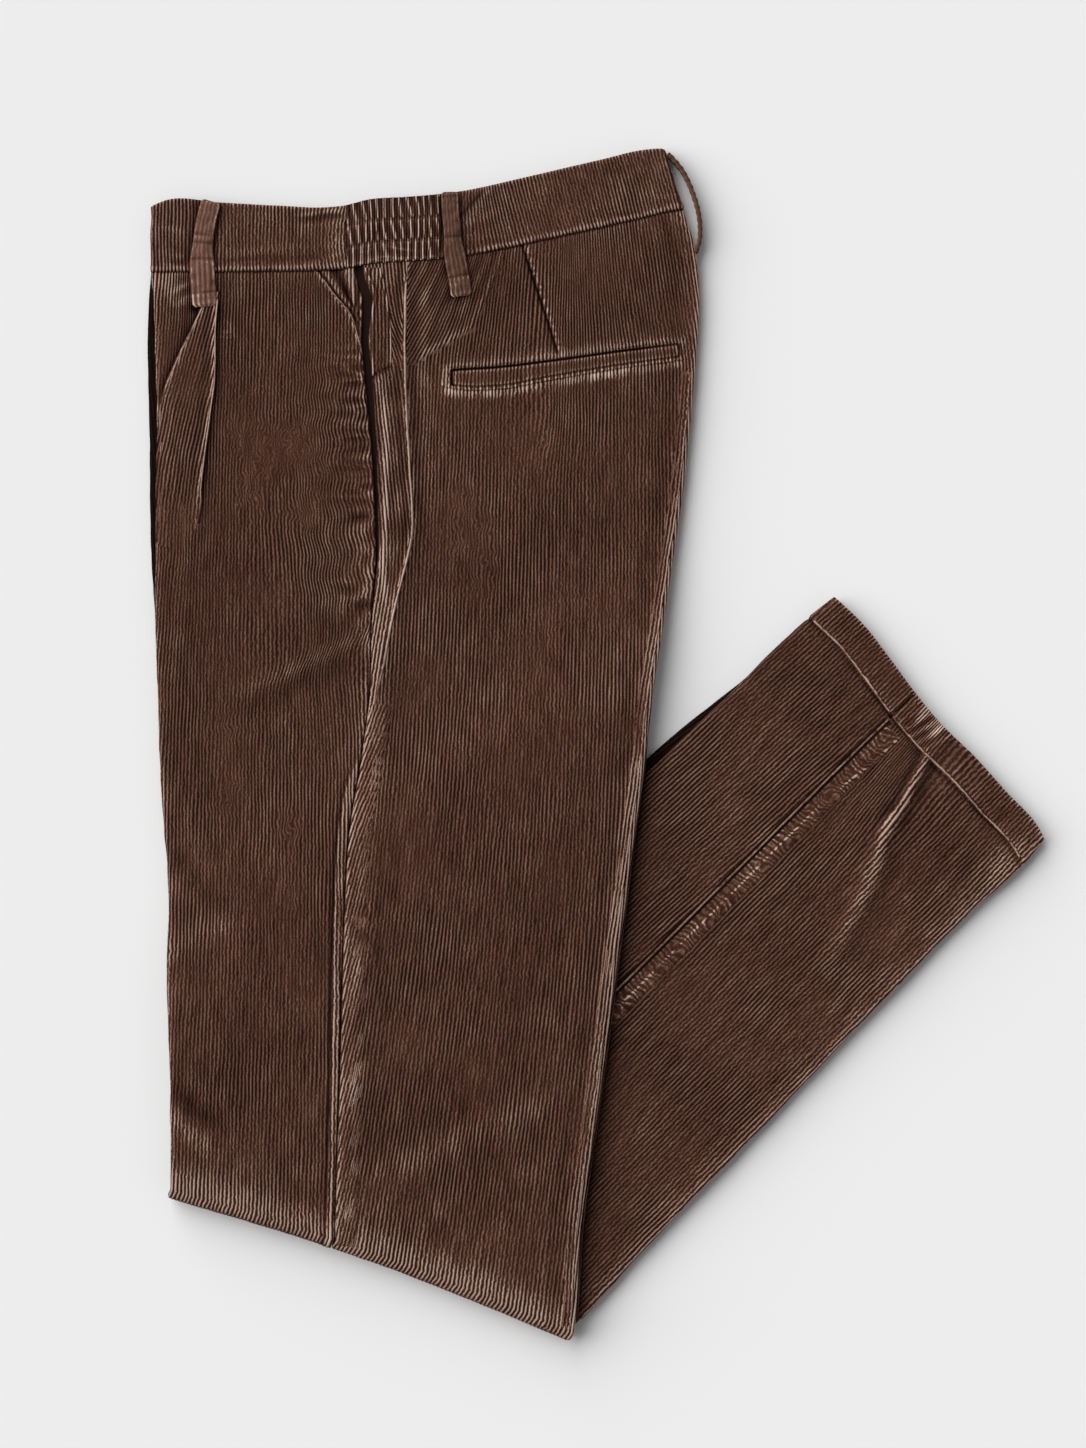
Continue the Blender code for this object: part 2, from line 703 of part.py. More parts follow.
def core_hem(across):
    return HEM_END(across) - CORE_HEM


def thigh_core_front(y):
    return THIGH["near_front"](y) + CORE_INSET


def thigh_core_back(y):
    return THIGH["near_back"](y) - CORE_INSET


def calf_core_back(along):
    return CALF["far_back"](along) + CORE_INSET


def calf_core_front(along):
    corner = CORE_CORNER * smooth((KNEE_CORNER - along) / KNEE_CORNER_EASE)
    return CALF["far_front"](along) - CORE_INSET - corner


def thigh_core_depths(x, y):
    at_knee = smooth(past_fold(x, y) / KNEE_EASE + 1)
    low = CORE_BOTTOM + (CORE_KNEE_BOTTOM - CORE_BOTTOM) * at_knee
    return CORE_TOP + 0 * low, low


def calf_core_depths(across, along):
    return CORE_TOP + 0 * across, CORE_BOTTOM + 0 * across


def build_cores():
    rows = np.concatenate([[-1], thigh_rows(), 1 + evenly(BEND_ROWS - 1)])
    core(
        "thigh_core", lay_near_thigh, thigh_core_front, thigh_core_back,
        down_thigh(near_thigh_top, core_waist), columns_of("thigh_core"), rows, thigh_core_depths,
    )
    core(
        "calf_core", lay_far_calf, calf_core_back, calf_core_front,
        between(core_hem, calf_start(KNEE_GAP)), columns_of("calf_core"),
        closer_at_end(CALF_ROWS - 1), calf_core_depths,
    )


# ---------------------------------------------------------------- waist


def upright(x):
    """An edge that stays at one place across."""
    return lambda y: x + 0 * np.asarray(y, float)


def level(y):
    return lambda x: y + 0 * np.asarray(x, float)


def band_bottom(x):
    return WAIST_SEAM(x) + GAP / 2


def build_waistband(leg, lay, gathered, proud):
    band = between(WAIST_TOP, band_bottom)
    rows = evenly(BAND_ROWS)
    ends = {
        "front": (upright(FRONT_BAND_END - GAP), THIGH[f"{leg}_front"], -1),
        "back": (upright(BACK_BAND_START + GAP), THIGH[f"{leg}_back"], 1),
    }
    for part, side in ends.items():
        across = columns_of(f"{part}_waistband")
        panel(f"{leg}_{part}_waistband", lay, *side, band, across, rows, BAND_WALL, proud=proud)

    def gathers(x, y):
        turn = (x - FRONT_BAND_END) / (BACK_BAND_START - FRONT_BAND_END) * ELASTIC_GATHERS
        lift = proud + gathered * (1 - np.cos(2 * np.pi * turn)) / 2
        return -lift, BAND_WALL - lift

    across = evenly(ELASTIC_GATHERS * GATHER_FACES + 1)
    if not gathered:
        across = columns_of("far_elastic_waistband")
    sides = (upright(FRONT_BAND_END), upright(BACK_BAND_START))
    strip(f"{leg}_elastic_waistband", lay, *sides, band, across, rows, gathers)


def build_waist():
    build_waistband("near", lay_near_thigh, GATHER_HEIGHT, BAND_PROUD)
    build_waistband("far", lay_far_thigh, 0.0, 0.0)


def build_belt_loops():
    ribbon("front_belt_loop", FRONT_LOOP, FRONT_LOOP_WIDTH, LOOP_THICKNESS, front_relief)
    ribbon("side_belt_loop", SIDE_LOOP, SIDE_LOOP_WIDTH, LOOP_THICKNESS, back_relief)
    x, y = resample(BACK_LOOP, BACK_LOOP_COLUMNS, LOOP_LENGTH_POINTS)
    outward = np.stack([-np.gradient(y), np.gradient(x)])
    outward = outward / np.hypot(*outward)
    z = np.array(BACK_LOOP_LEVELS)[None, :] + 0 * x[:, None]

    def wall(inward):
        across = (x - outward[0] * inward)[:, None] + 0 * z
        up = (y - outward[1] * inward)[:, None] + 0 * z
        return np.stack([across, up, z], axis=-1)

    stacked_solid("centre_back_belt_loop", [wall(0.0), wall(BACK_LOOP_THICKNESS)])


# ---------------------------------------------------------------- pockets


def on_back(thickness):
    """Depths of a piece that lies on the near back panel: its points, moved out."""

    def depths(x, y):
        lift = back_relief(x, y) + GAP
        return -lift - thickness, -lift

    return depths


def build_pockets():
    low = curve(WELT, WELT_COLUMNS, "x", "low")
    high = curve(WELT, WELT_COLUMNS, "x", "high")
    along, across = WELT_POINTS
    strip(
        "back_pocket_welt", lay_near_thigh, upright(WELT[0][0]), upright(WELT[-1][0]),
        between(high, low), evenly(along), evenly(across), on_back(WELT_THICKNESS),
    )
    inner = curve(FACING, FACING_COLUMNS, "y", "inner")
    outer = curve(FACING, FACING_COLUMNS, "y", "outer")
    along, across = FACING_POINTS
    strip(
        "side_pocket_facing", lay_near_thigh, inner, outer,
        between(level(FACING[0][0]), level(FACING[-1][0])), evenly(across), evenly(along),
        on_back(FACING_THICKNESS),
    )


def clear_scene():
    for item in list(bpy.data.objects):
        bpy.data.objects.remove(item, do_unlink=True)


def main():
    clear_scene()
    build_near_thighs()
    build_far_thighs()
    build_calves()
    build_cores()
    build_waist()
    build_belt_loops()
    build_pockets()


main()
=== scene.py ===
"""Folded corduroy trousers: the cloth, sewing, finishes and studio.

The trousers lie on one side with both legs turned under at the knee. Each panel is a surface worked
out with numpy. Its columns follow the wales, the raised cords of the cloth, so each wale is real
relief, and its rows run from the waist or the hem to the knee. Sizes are in millimetres until a
piece is made, and in metres in the panel's settings.
"""

import bpy
import numpy as np
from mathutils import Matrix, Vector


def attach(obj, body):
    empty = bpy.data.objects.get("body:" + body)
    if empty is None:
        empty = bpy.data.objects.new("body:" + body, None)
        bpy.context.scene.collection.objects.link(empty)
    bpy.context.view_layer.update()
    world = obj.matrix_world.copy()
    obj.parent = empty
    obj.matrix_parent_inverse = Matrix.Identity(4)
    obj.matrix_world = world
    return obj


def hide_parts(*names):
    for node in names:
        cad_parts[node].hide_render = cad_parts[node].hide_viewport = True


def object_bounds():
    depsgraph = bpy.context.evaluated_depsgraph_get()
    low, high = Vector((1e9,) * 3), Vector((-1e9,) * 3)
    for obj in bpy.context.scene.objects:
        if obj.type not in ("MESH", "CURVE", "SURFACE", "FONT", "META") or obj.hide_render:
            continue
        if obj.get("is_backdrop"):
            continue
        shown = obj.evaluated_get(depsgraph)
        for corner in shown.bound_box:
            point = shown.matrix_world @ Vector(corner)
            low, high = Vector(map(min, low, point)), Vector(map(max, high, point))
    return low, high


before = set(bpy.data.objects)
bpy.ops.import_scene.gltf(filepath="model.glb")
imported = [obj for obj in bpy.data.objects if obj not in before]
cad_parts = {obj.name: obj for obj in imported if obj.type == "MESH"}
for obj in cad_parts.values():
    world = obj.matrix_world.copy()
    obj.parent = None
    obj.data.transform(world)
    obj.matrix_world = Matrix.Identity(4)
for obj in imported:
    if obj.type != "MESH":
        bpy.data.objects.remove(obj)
CAD_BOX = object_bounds()

bl_info = {
    "name": "Folded Corduroy Trousers",
    "version": (1, 0, 0),
    "blender": (4, 5, 0),
    "location": "3D View > Sidebar > Trousers",
    "description": "Makes the cloth, the sewing and the finish of folded corduroy trousers",
    "category": "Object",
}

MM = 0.001
BODY = "root"

# ---------------------------------------------------------------- sizes shared with the solids

BAND_WALL = 1.9
GAP = 0.3
LEG = 4.35
STACK = 9.0
RISE = 9.4
DRAPE = 100.0
DRAPE_START = 14.0
EDGE_RADIUS = LEG / 2
RETURN = 5.5
BAND_PROUD = 0.3

BEND_RADIUS = (RISE + STACK) / 2
BEND_REACH = 6.0
FOLD_LEFT = (-242.3, -264.8)
FOLD_RIGHT = (-15.0, -346.1)
FOLD_HOLLOW = 5.0

CALF_TURN = np.radians(45.0)
HEM_WIDTH = 19.0
NEAR_HEM_SHORT = 1.5
FAR_CALF_START = 9.0
KNEE_GAP = 0.8
KNEE_GUESS = -300.0
ROUNDS = 24  # after which a panel's rows and columns have met

THIGH_COLUMNS = ("y", "near_front", "far_front", "front_seam", "back_seam", "near_back", "far_back")
THIGH_SECTIONS = (
    (345.0, -257.0, -256.5, -138.0, -135.4, 39.6, 39.4),
    (309.0, -257.6, -257.0, -138.0, -135.4, 50.8, 50.2),
    (287.0, -257.6, -258.0, -138.0, -135.4, 57.8, 57.0),
    (274.0, -257.4, -258.4, -139.0, -135.2, 59.3, 58.5),
    (259.0, -256.4, -259.6, -135.4, -130.0, 60.1, 59.3),
    (234.0, -255.6, -260.3, -135.6, -131.8, 59.0, 58.4),
    (212.0, -254.8, -260.0, -133.9, -129.6, 57.3, 56.8),
    (180.0, -253.9, -259.2, -130.6, -127.6, 54.4, 54.0),
    (140.0, -254.3, -258.9, -128.2, -126.4, 49.8, 49.5),
    (110.0, -255.1, -258.2, -127.6, -126.4, 45.3, 45.4),
    (72.0, -255.3, -255.9, -130.2, -129.8, 39.5, 39.8),
    (26.0, -253.9, -254.2, -131.6, -131.2, 32.2, 32.8),
    (-9.0, -252.6, -252.8, -136.4, -136.0, 28.4, 29.2),
    (-53.0, -250.3, -250.0, -143.4, -143.0, 22.2, 23.4),
    (-94.0, -247.7, -247.2, -145.6, -145.2, 16.8, 18.2),
    (-136.0, -247.9, -247.4, -147.0, -146.6, 10.9, 12.6),
    (-183.0, -246.6, -246.0, -148.2, -147.8, 4.9, 6.6),
    (-230.0, -245.8, -245.2, -149.8, -149.4, -1.9, 0.0),
    (-276.0, -246.4, -245.8, -151.2, -150.8, -8.2, -6.4),
    (-330.0, -246.4, -245.8, -151.6, -151.2, -11.6, -10.0),
    (-390.0, -246.4, -245.8, -151.6, -151.2, -16.5, -16.0),
)
WAIST_COLUMNS = ("x", "seam", "top")
WAIST_SECTIONS = (
    (-262.0, 273.9, 309.8),
    (-256.0, 273.9, 312.6),
    (-250.0, 273.9, 315.0),
    (-218.0, 273.9, 313.9),
    (-183.0, 274.4, 312.1),
    (-156.0, 275.0, 311.2),
    (-145.0, 276.0, 312.4),
    (-132.0, 278.4, 315.6),
    (-110.0, 280.2, 317.2),
    (-93.0, 281.2, 318.6),
    (-75.0, 283.2, 321.0),
    (-47.0, 288.7, 327.2),
    (-14.0, 296.0, 334.9),
    (5.0, 300.2, 339.3),
    (26.0, 305.0, 344.2),
    (38.0, 307.8, 345.2),
    (52.0, 310.4, 343.0),
    (64.0, 312.6, 341.0),
)
FRONT_BAND_END = -144.6
BACK_BAND_START = -91.0
ELASTIC_GATHERS = 12

CALF_COLUMNS = ("along", "far_front", "near_front", "seam", "far_back", "near_back")
CALF_SECTIONS = (
    (-362.0, -24.0, -23.0, -109.0, -229.4, -229.0),
    (-350.0, -6.0, -4.4, -109.0, -229.6, -229.2),
    (-335.0, 10.0, 11.6, -109.0, -229.8, -229.4),
    (-318.0, 23.6, 26.4, -109.0, -230.0, -229.6),
    (-300.0, 26.0, 30.2, -109.0, -230.2, -229.8),
    (-257.0, 18.6, 22.6, -109.0, -230.6, -230.2),
    (-200.0, 8.2, 12.3, -109.0, -227.6, -227.2),
    (-100.0, -9.8, -5.8, -109.0, -225.6, -225.2),
    (0.0, -32.0, -25.6, -109.0, -223.2, -222.8),
    (36.0, -33.4, -28.2, -109.0, -222.8, -222.4),
    (62.0, -34.2, -31.0, -109.0, -222.2, -221.8),
    (84.0, -34.4, -33.8, -109.0, -222.4, -222.0),
    (120.0, -34.2, -34.4, -109.2, -224.8, -224.2),
    (145.0, -36.2, -36.6, -109.8, -222.6, -222.0),
    (165.0, -38.6, -39.0, -110.2, -221.6, -221.0),
)
HEM_COLUMNS = ("across", "along")
HEM_SECTIONS = (
    (-224.0, 144.6),
    (-216.0, 147.2),
    (-187.0, 148.8),
    (-160.0, 150.2),
    (-134.0, 149.8),
    (-110.0, 152.0),
    (-86.0, 155.6),
    (-60.0, 158.8),
    (-36.0, 158.2),
)
CALF_LINE_A = (-245.2, -198.8)
CALF_LINE_B = (27.4, -9.7)

# ---------------------------------------------------------------- folds and lines of the cloth

FOLD_COLUMNS = ("x0", "y0", "x1", "y1", "height", "width", "fade")
FRONT_FOLDS = (
    (-236.0, 120.0, -246.0, 20.0, 0.7, 5.0, 0.4),
    (-250.0, -60.0, -214.0, -96.0, -0.8, 7.0, 0.5),
    (-246.0, -118.0, -205.0, -100.0, 0.6, 8.0, 0.5),
    (-248.0, -198.0, -216.0, -222.0, -1.0, 5.0, 0.5),
    (-247.0, -212.0, -222.0, -236.0, 0.8, 6.0, 0.5),
    (-204.0, 31.0, -134.0, 64.0, 0.35, 6.0, 0.4),
    (-200.0, 20.0, -136.0, 50.0, -0.5, 6.0, 0.4),
    (-146.0, 164.0, -128.0, 158.0, -0.4, 3.0, 0.5),
    (-150.0, 186.0, -130.0, 190.0, 0.4, 4.0, 0.5),
)
BACK_FOLDS = (
    (-122.0, 64.0, -142.0, -250.0, 0.9, 6.0, 0.1),
    (-106.0, 70.0, -126.0, -240.0, -0.5, 9.0, 0.2),
    (-41.0, 284.0, -21.5, 226.0, -0.5, 4.0, 0.2),
    (-98.0, 276.0, -101.0, 205.0, 1.0, 4.5, 0.3),
    (-60.0, 30.0, -40.0, -120.0, 0.3, 16.0, 0.5),
    (10.0, 150.0, -6.0, 20.0, -0.3, 14.0, 0.5),
    (-124.0, -249.0, -24.0, -203.0, 0.5, 9.0, 0.5),
    (-118.0, -228.0, -30.0, -186.0, -0.35, 10.0, 0.5),
    (-80.0, 262.0, -52.0, 226.0, 0.4, 9.0, 0.4),
)
CALF_FOLDS = (
    (-139.0, 132.0, -155.0, 84.0, 1.6, 4.0, 0.2),
    (-152.0, 96.0, -187.0, 2.0, 1.2, 7.0, 0.3),
    (-118.5, 118.0, -120.0, -110.0, 0.6, 4.0, 0.15),
    (-138.0, 150.0, -140.0, 130.0, 1.0, 5.0, 0.3),
    (-196.0, 118.0, -202.0, 40.0, 0.5, 5.0, 0.4),
)

LINE_COLUMNS = ("y", "x")
# The waist pleat lies over the front panel between these two lines.
PLEAT_LEFT = (
    (264.0, -224.4),
    (251.9, -229.5),
    (231.6, -239.4),
    (220.5, -244.6),
    (209.5, -249.3),
    (197.9, -252.6),
    (180.0, -254.0),
    (100.0, -255.2),
)
PLEAT_RIGHT = (
    (264.0, -217.6),
    (239.1, -219.6),
    (213.0, -219.9),
    (191.5, -222.6),
    (177.0, -224.6),
    (151.5, -227.6),
    (135.3, -228.6),
    (122.0, -232.0),
    (112.0, -238.0),
    (100.0, -244.0),
)
# Crest along which the back panel's gathers meet, and where it runs out into the side seam.
SIDE_RIDGE = (
    (285.0, -109.0),
    (255.9, -110.1),
    (227.5, -110.6),
    (188.1, -109.5),
    (159.1, -107.7),
    (118.5, -107.0),
    (106.0, -109.6),
    (81.3, -115.9),
    (40.0, -124.4),
    (0.0, -133.6),
    (-30.0, -143.0),
    (-60.0, -152.0),
    (-120.0, -165.0),
    (-400.0, -200.0),
)
DART = (
    (289.0, -42.6),
    (262.0, -33.6),
    (239.1, -26.0),
    (223.4, -21.3),
)
# The stitched edge of the front pocket, and the fold that runs down the calf from its hem.
POCKET_EDGE = (
    (274.0, -161.5),
    (269.8, -158.2),
    (258.8, -150.1),
    (249.5, -142.5),
    (236.2, -137.9),
    (199.7, -133.3),
    (164.9, -129.8),
)
CALF_FOLD = (
    (135.0, -138.6),
    (128.6, -141.5),
    (116.3, -145.6),
    (101.1, -150.9),
    (79.8, -155.0),
    (72.4, -160.0),
    (48.6, -171.4),
    (20.7, -179.6),
    (3.9, -185.8),
    (-60.0, -199.0),
)


# ---------------------------------------------------------------- curves


def column(rows, names, name):
    """One named column of a table."""
    return np.array([row[names.index(name)] for row in rows], float)


def cubic(at, value):
    """A smooth curve through value against at: cubic pieces that share their slopes."""
    slope = np.gradient(value, at)

    def read(t):
        t = np.clip(np.asarray(t, float), at[0], at[-1])
        i = np.clip(np.searchsorted(at, t) - 1, 0, len(at) - 2)
        step = at[i + 1] - at[i]
        s = (t - at[i]) / step
        level = value[i] * (1 + 2 * s) * (1 - s) ** 2 + value[i + 1] * s**2 * (3 - 2 * s)
        return level + step * (slope[i] * s * (1 - s) ** 2 - slope[i + 1] * s**2 * (1 - s))

    return read


def curve(rows, names, key, name):
    """A smooth curve through one column of a table, read by another."""
    at = column(rows, names, key)
    order = np.argsort(at)
    return cubic(at[order], column(rows, names, name)[order])


def line(rows):
    """x of a line that runs down the cloth, against y."""
    return curve(rows, LINE_COLUMNS, "y", "x")


def smooth(t):
    """0 up to 0, 1 from 1 on, and a soft step between."""
    t = np.clip(t, 0.0, 1.0)
    return t * t * (3 - 2 * t)


def bell(t):
    """1 at 0, falling away on both sides."""
    return np.exp(-(t**2))


def ripple(u, v, seed, terms=6):
    """Even noise from -1 to 1 or so: a sum of waves of random direction and phase."""
    rng = np.random.default_rng(seed)
    total = 0.0
    for _ in range(terms):
        turn, phase = rng.uniform(0, 2 * np.pi, 2)
        rate = rng.uniform(0.6, 1.6)
        total = total + np.sin(rate * (u * np.cos(turn) + v * np.sin(turn)) + phase)
    return total / np.sqrt(terms)


THIGH = {name: curve(THIGH_SECTIONS, THIGH_COLUMNS, "y", name) for name in THIGH_COLUMNS[1:]}
CALF = {name: curve(CALF_SECTIONS, CALF_COLUMNS, "along", name) for name in CALF_COLUMNS[1:]}
WAIST_SEAM = curve(WAIST_SECTIONS, WAIST_COLUMNS, "x", "seam")
WAIST_TOP = curve(WAIST_SECTIONS, WAIST_COLUMNS, "x", "top")
HEM_END = curve(HEM_SECTIONS, HEM_COLUMNS, "across", "along")
PLEAT_OUTER = line(PLEAT_LEFT)
PLEAT_CREST = line(PLEAT_RIGHT)
RIDGE = line(SIDE_RIDGE)
DART_SEAM = line(DART)
POCKET_MOUTH = line(POCKET_EDGE)
CALF_CREST = line(CALF_FOLD)

FOLD_SLOPE = (FOLD_RIGHT[1] - FOLD_LEFT[1]) / (FOLD_RIGHT[0] - FOLD_LEFT[0])
FOLD_COS = 1 / np.hypot(1, FOLD_SLOPE)
FOLD_OUT = np.array([FOLD_SLOPE, -1.0]) * FOLD_COS


def folds(rows, a, b):
    """Sum of soft ridges: each falls off as a bell across its line and fades at both ends."""
    total = np.zeros(np.broadcast(a, b).shape)
    for row in rows:
        fold = dict(zip(FOLD_COLUMNS, row))
        run_x = fold["x1"] - fold["x0"]
        run_y = fold["y1"] - fold["y0"]
        from_x = a - fold["x0"]
        from_y = b - fold["y0"]
        length = np.hypot(run_x, run_y)
        along = (from_x * run_x + from_y * run_y) / length**2
        off = (from_y * run_x - from_x * run_y) / length
        ends = smooth(along / fold["fade"] + 0.5) * smooth((1 - along) / fold["fade"] + 0.5)
        total = total + fold["height"] * bell(off / fold["width"]) * ends
    return total


# ---------------------------------------------------------------- where the cloth lies


def fold_start(x):
    """The y at which the cloth starts to turn round the knee fold."""
    share = np.clip((x - FOLD_LEFT[0]) / (FOLD_RIGHT[0] - FOLD_LEFT[0]), 0, 1)
    straight = FOLD_LEFT[1] + FOLD_SLOPE * (x - FOLD_LEFT[0])
    return straight + BEND_REACH / FOLD_COS + FOLD_HOLLOW * np.sin(np.pi * share)


def past_fold(x, y):
    """How far a place lies past the knee fold's start."""
    return (fold_start(x) - y) * FOLD_COS


def calf_to_plan(along, across):
    """Plan position of a place along and across the calves."""
    c = np.cos(CALF_TURN)
    s = np.sin(CALF_TURN)
    return along * c - across * s, along * s + across * c


def calf_knee(across):
    """How far along the calves the knee fold starts, in a few rounds."""
    rate = np.sin(CALF_TURN) - FOLD_SLOPE * np.cos(CALF_TURN)
    along = np.full(np.shape(across), KNEE_GUESS)
    for _ in range(ROUNDS):
        x, y = calf_to_plan(along, across)
        along = along + (fold_start(x) - y) / rate
    return along


def rest_height(x, y):
    """How high the thighs' underside lies: raised over the calves, then down to the floor."""
    ax, ay = CALF_LINE_A
    bx, by = CALF_LINE_B
    length = np.hypot(bx - ax, by - ay)
    off = ((x - ax) * -(by - ay) + (y - ay) * (bx - ax)) / length
    return RISE * smooth(1 - (off - DRAPE_START) / DRAPE)


def lay_near_thigh(x, y, depth):
    """Depth is measured down from the stack's top. The cloth follows what it lies on, and past the
    fold line it turns half round the fold's axis."""
    past = past_fold(x, y)
    height = rest_height(x, y) + STACK - depth
    turn = np.clip(past / BEND_RADIUS, 0, np.pi)
    radius = height - BEND_RADIUS
    out = BEND_REACH / BEND_RADIUS * radius * np.sin(turn)
    foot = np.where(past > 0, fold_start(x), y)
    z = np.where(past > 0, BEND_RADIUS + radius * np.cos(turn), height)
    return np.stack([x + FOLD_OUT[0] * out, foot + FOLD_OUT[1] * out, z], axis=-1)


def lay_far_thigh(x, y, depth):
    """Places a far thigh, whose depth counts up from its underside."""
    return lay_near_thigh(x, y, STACK - depth)


def lay_far_calf(across, along, depth):
    """Places the upper calf, whose depth counts down from the top."""
    x, y = calf_to_plan(along, across)
    return np.stack([x, y, STACK - depth + 0 * x], axis=-1)


def lay_near_calf(across, along, depth):
    """Places the lower calf, whose depth counts up from the floor."""
    return lay_far_calf(across, along, STACK - depth)


def between(high, low):
    """Places rows from high(a) at v = 0 to low(a) at v = 1."""
    return lambda v, a: high(a) + (low(a) - high(a)) * v


def down_thigh(high):
    """v is 0 at the waist, 1 at the fold line and 2 after half a turn round it."""
    half_turn = np.pi * BEND_RADIUS / FOLD_COS

    def place(v, x):
        level = high(x) + (fold_start(x) - high(x)) * np.clip(v, 0, 1)
        return level - half_turn * np.maximum(v - 1, 0)

    return place


# ---------------------------------------------------------------- wales


def wale_lines(lean, pitch, start, b_start, b_range, seed=1, count=150, step=2.0):
    """Across-positions of the wales. They are evenly spaced at b_start, and each is carried up and
    down from there in short steps along lean(a, b), its change across for each step along."""
    n = np.arange(-count, count + 1)
    first = start + n * pitch
    low, high = b_range
    levels = np.arange(low, high + step, step)
    table = np.empty((len(levels), len(n)))
    base = int(np.argmin(np.abs(levels - b_start)))
    table[base] = first
    for i in range(base + 1, len(levels)):
        table[i] = table[i - 1] + step * lean(table[i - 1], levels[i - 1])
    for i in range(base - 1, -1, -1):
        table[i] = table[i + 1] - step * lean(table[i + 1], levels[i + 1])

    def read(number, b):
        r = np.clip((b - low) / step, 0, len(levels) - 1.001)
        c = np.clip(number + count, 0, 2 * count - 0.001)
        i = r.astype(int)
        j = c.astype(int)
        r = r - i
        c = c - j
        top = table[i, j] * (1 - c) + table[i, j + 1] * c
        bottom = table[i + 1, j] * (1 - c) + table[i + 1, j + 1] * c
        a = top * (1 - r) + bottom * r
        return a + 0.24 * ripple(a / 3.5, b / 7.5, seed) + 0.07 * ripple(a / 1.5, b / 2.6, seed + 1)

    return read


def wale_shape(number):
    """0 in the groove and 1 on the crest of a wale, rounded above."""
    return (0.5 - 0.5 * np.cos(2 * np.pi * number)) ** 0.8


# ---------------------------------------------------------------- panels


def cloth(
    wales, numbers, rows, place, left, right, lay,
    edge=None, side=0, relief=None, wear=None, wale_height=0.5, crest_at=0.6, matted=None,
):
    """A piece of cloth as arrays. Columns follow the wales whose numbers are given and are held
    between left(b) and right(b). Past edge(b) the cloth rolls round a folded edge: half a turn of
    EDGE_RADIUS, then back in. rows are (v, db, dn): a row at place(v, a), moved db along the cloth
    and dn out of it. matted(a, b) is 1 where the wales are crushed flat. Returns points, bare (the
    same points without the wales' relief), triangles, wale number, distance along, how worn the cloth is
    together with its painted shade, and crush."""
    v = rows[:, 0][:, None]
    db = rows[:, 1][:, None]
    dn = rows[:, 2][:, None]
    n = np.broadcast_to(numbers[None, :], (len(rows), len(numbers)))
    run_in = np.pi * EDGE_RADIUS + RETURN

    def held(b):
        a = wales(n, b)
        low = left(b)
        high = right(b)
        if side > 0:
            high = edge(b) - EDGE_RADIUS + run_in
        if side < 0:
            low = edge(b) + EDGE_RADIUS - run_in
        return a, np.clip(a, low, high)

    def rolled(a, b, lift):
        if not side:
            return a, -lift
        start = edge(b) - side * EDGE_RADIUS
        t = side * (a - start)
        turn = np.clip(t / EDGE_RADIUS, 0, np.pi)
        back = np.maximum(t - np.pi * EDGE_RADIUS, 0)
        out = np.where(t < 0, t, (EDGE_RADIUS + lift) * np.sin(turn) - back)
        return start + side * out, EDGE_RADIUS - (EDGE_RADIUS + lift) * np.cos(turn)

    b = place(v, left(0.0) * 0.5 + right(0.0) * 0.5 + 0 * n)
    for _ in range(ROUNDS):
        raw, a = held(b)
        b = place(v, rolled(a, b, 0.0)[0]) + db
    rate = np.gradient(raw, axis=1) / np.gradient(n, axis=1)
    number = n + (a - raw) / np.where(np.abs(rate) < 1e-3, 1e-3, rate)
    crush = matted(a, b) if matted else np.zeros(a.shape)
    lift = wale_height * (wale_shape(number) - crest_at) * (1 - 0.8 * crush)
    if side:
        t = side * (a - edge(b)) + EDGE_RADIUS
        lift = lift * (1 - smooth((t - 1.2 * EDGE_RADIUS) / EDGE_RADIUS))
    # worn is lighter above 0 where the cloth is worn, and below 0 it is painted shade.
    worn = wear(a, b) if wear else np.zeros(a.shape)
    folded = relief(a, b) if relief else np.zeros(a.shape)
    # Relief that stands above its surroundings is made lighter, as worn crests, and its hollows darker, as
    # painted shade.
    if relief:
        worn = worn + 0.55 * np.clip(folded - blurred(folded), -1.2, 1.2)
    a_out, depth = rolled(a, b, lift + folded + dn)
    points = lay(a_out, b, depth)
    bare_a, bare_depth = rolled(a, b, folded + dn)
    bare = lay(bare_a, b, bare_depth)

    index = np.arange(a.size).reshape(a.shape)
    outside_low = raw < a - 1e-6
    outside_high = raw > a + 1e-6
    cols = np.arange(a.shape[1])[None, :]
    first = np.where(outside_low, cols, -1).max(axis=1)
    last = np.where(outside_high, cols, a.shape[1]).min(axis=1)
    held_to = np.clip(cols, first[:, None], last[:, None])
    index = np.take_along_axis(index, held_to, axis=1)
    corners = (index[:-1, :-1], index[1:, :-1], index[1:, 1:], index[:-1, 1:])
    p, q, r, s = (corner.reshape(-1) for corner in corners)
    triangles = np.concatenate([np.stack([p, q, r], axis=1), np.stack([p, r, s], axis=1)])
    good = (triangles[:, 0] != triangles[:, 1]) & (triangles[:, 1] != triangles[:, 2])
    good &= triangles[:, 0] != triangles[:, 2]
    triangles = triangles[good]
    return {
        "points": points.reshape(-1, 3),
        "bare": bare.reshape(-1, 3),
        "triangles": triangles,
        "number": number.reshape(-1),
        "along": b.reshape(-1),
        "wear": worn.reshape(-1),
        "crush": crush.reshape(-1),
    }


def blurred(values, rows=4, cols=10):
    """The mean of values over a block of the grid round each point."""
    for axis, reach in ((0, rows), (1, cols)):
        reach = min(reach, values.shape[axis] - 1)
        pad = [(0, 0), (0, 0)]
        pad[axis] = (reach + 1, reach)
        total = np.cumsum(np.pad(values, pad, mode="edge"), axis=axis)
        count = values.shape[axis]
        high = np.take(total, np.arange(2 * reach + 1, 2 * reach + 1 + count), axis=axis)
        low = np.take(total, np.arange(0, count), axis=axis)
        values = (high - low) / (2 * reach + 1)
    return values


def joined(patches):
    """Several patches as one set of arrays."""
    offset = 0
    triangles = []
    for patch in patches:
        triangles.append(patch["triangles"] + offset)
        offset += len(patch["points"])
    whole = {key: np.concatenate([patch[key] for patch in patches]) for key in patches[0]}
    whole["triangles"] = np.concatenate(triangles)
    return whole


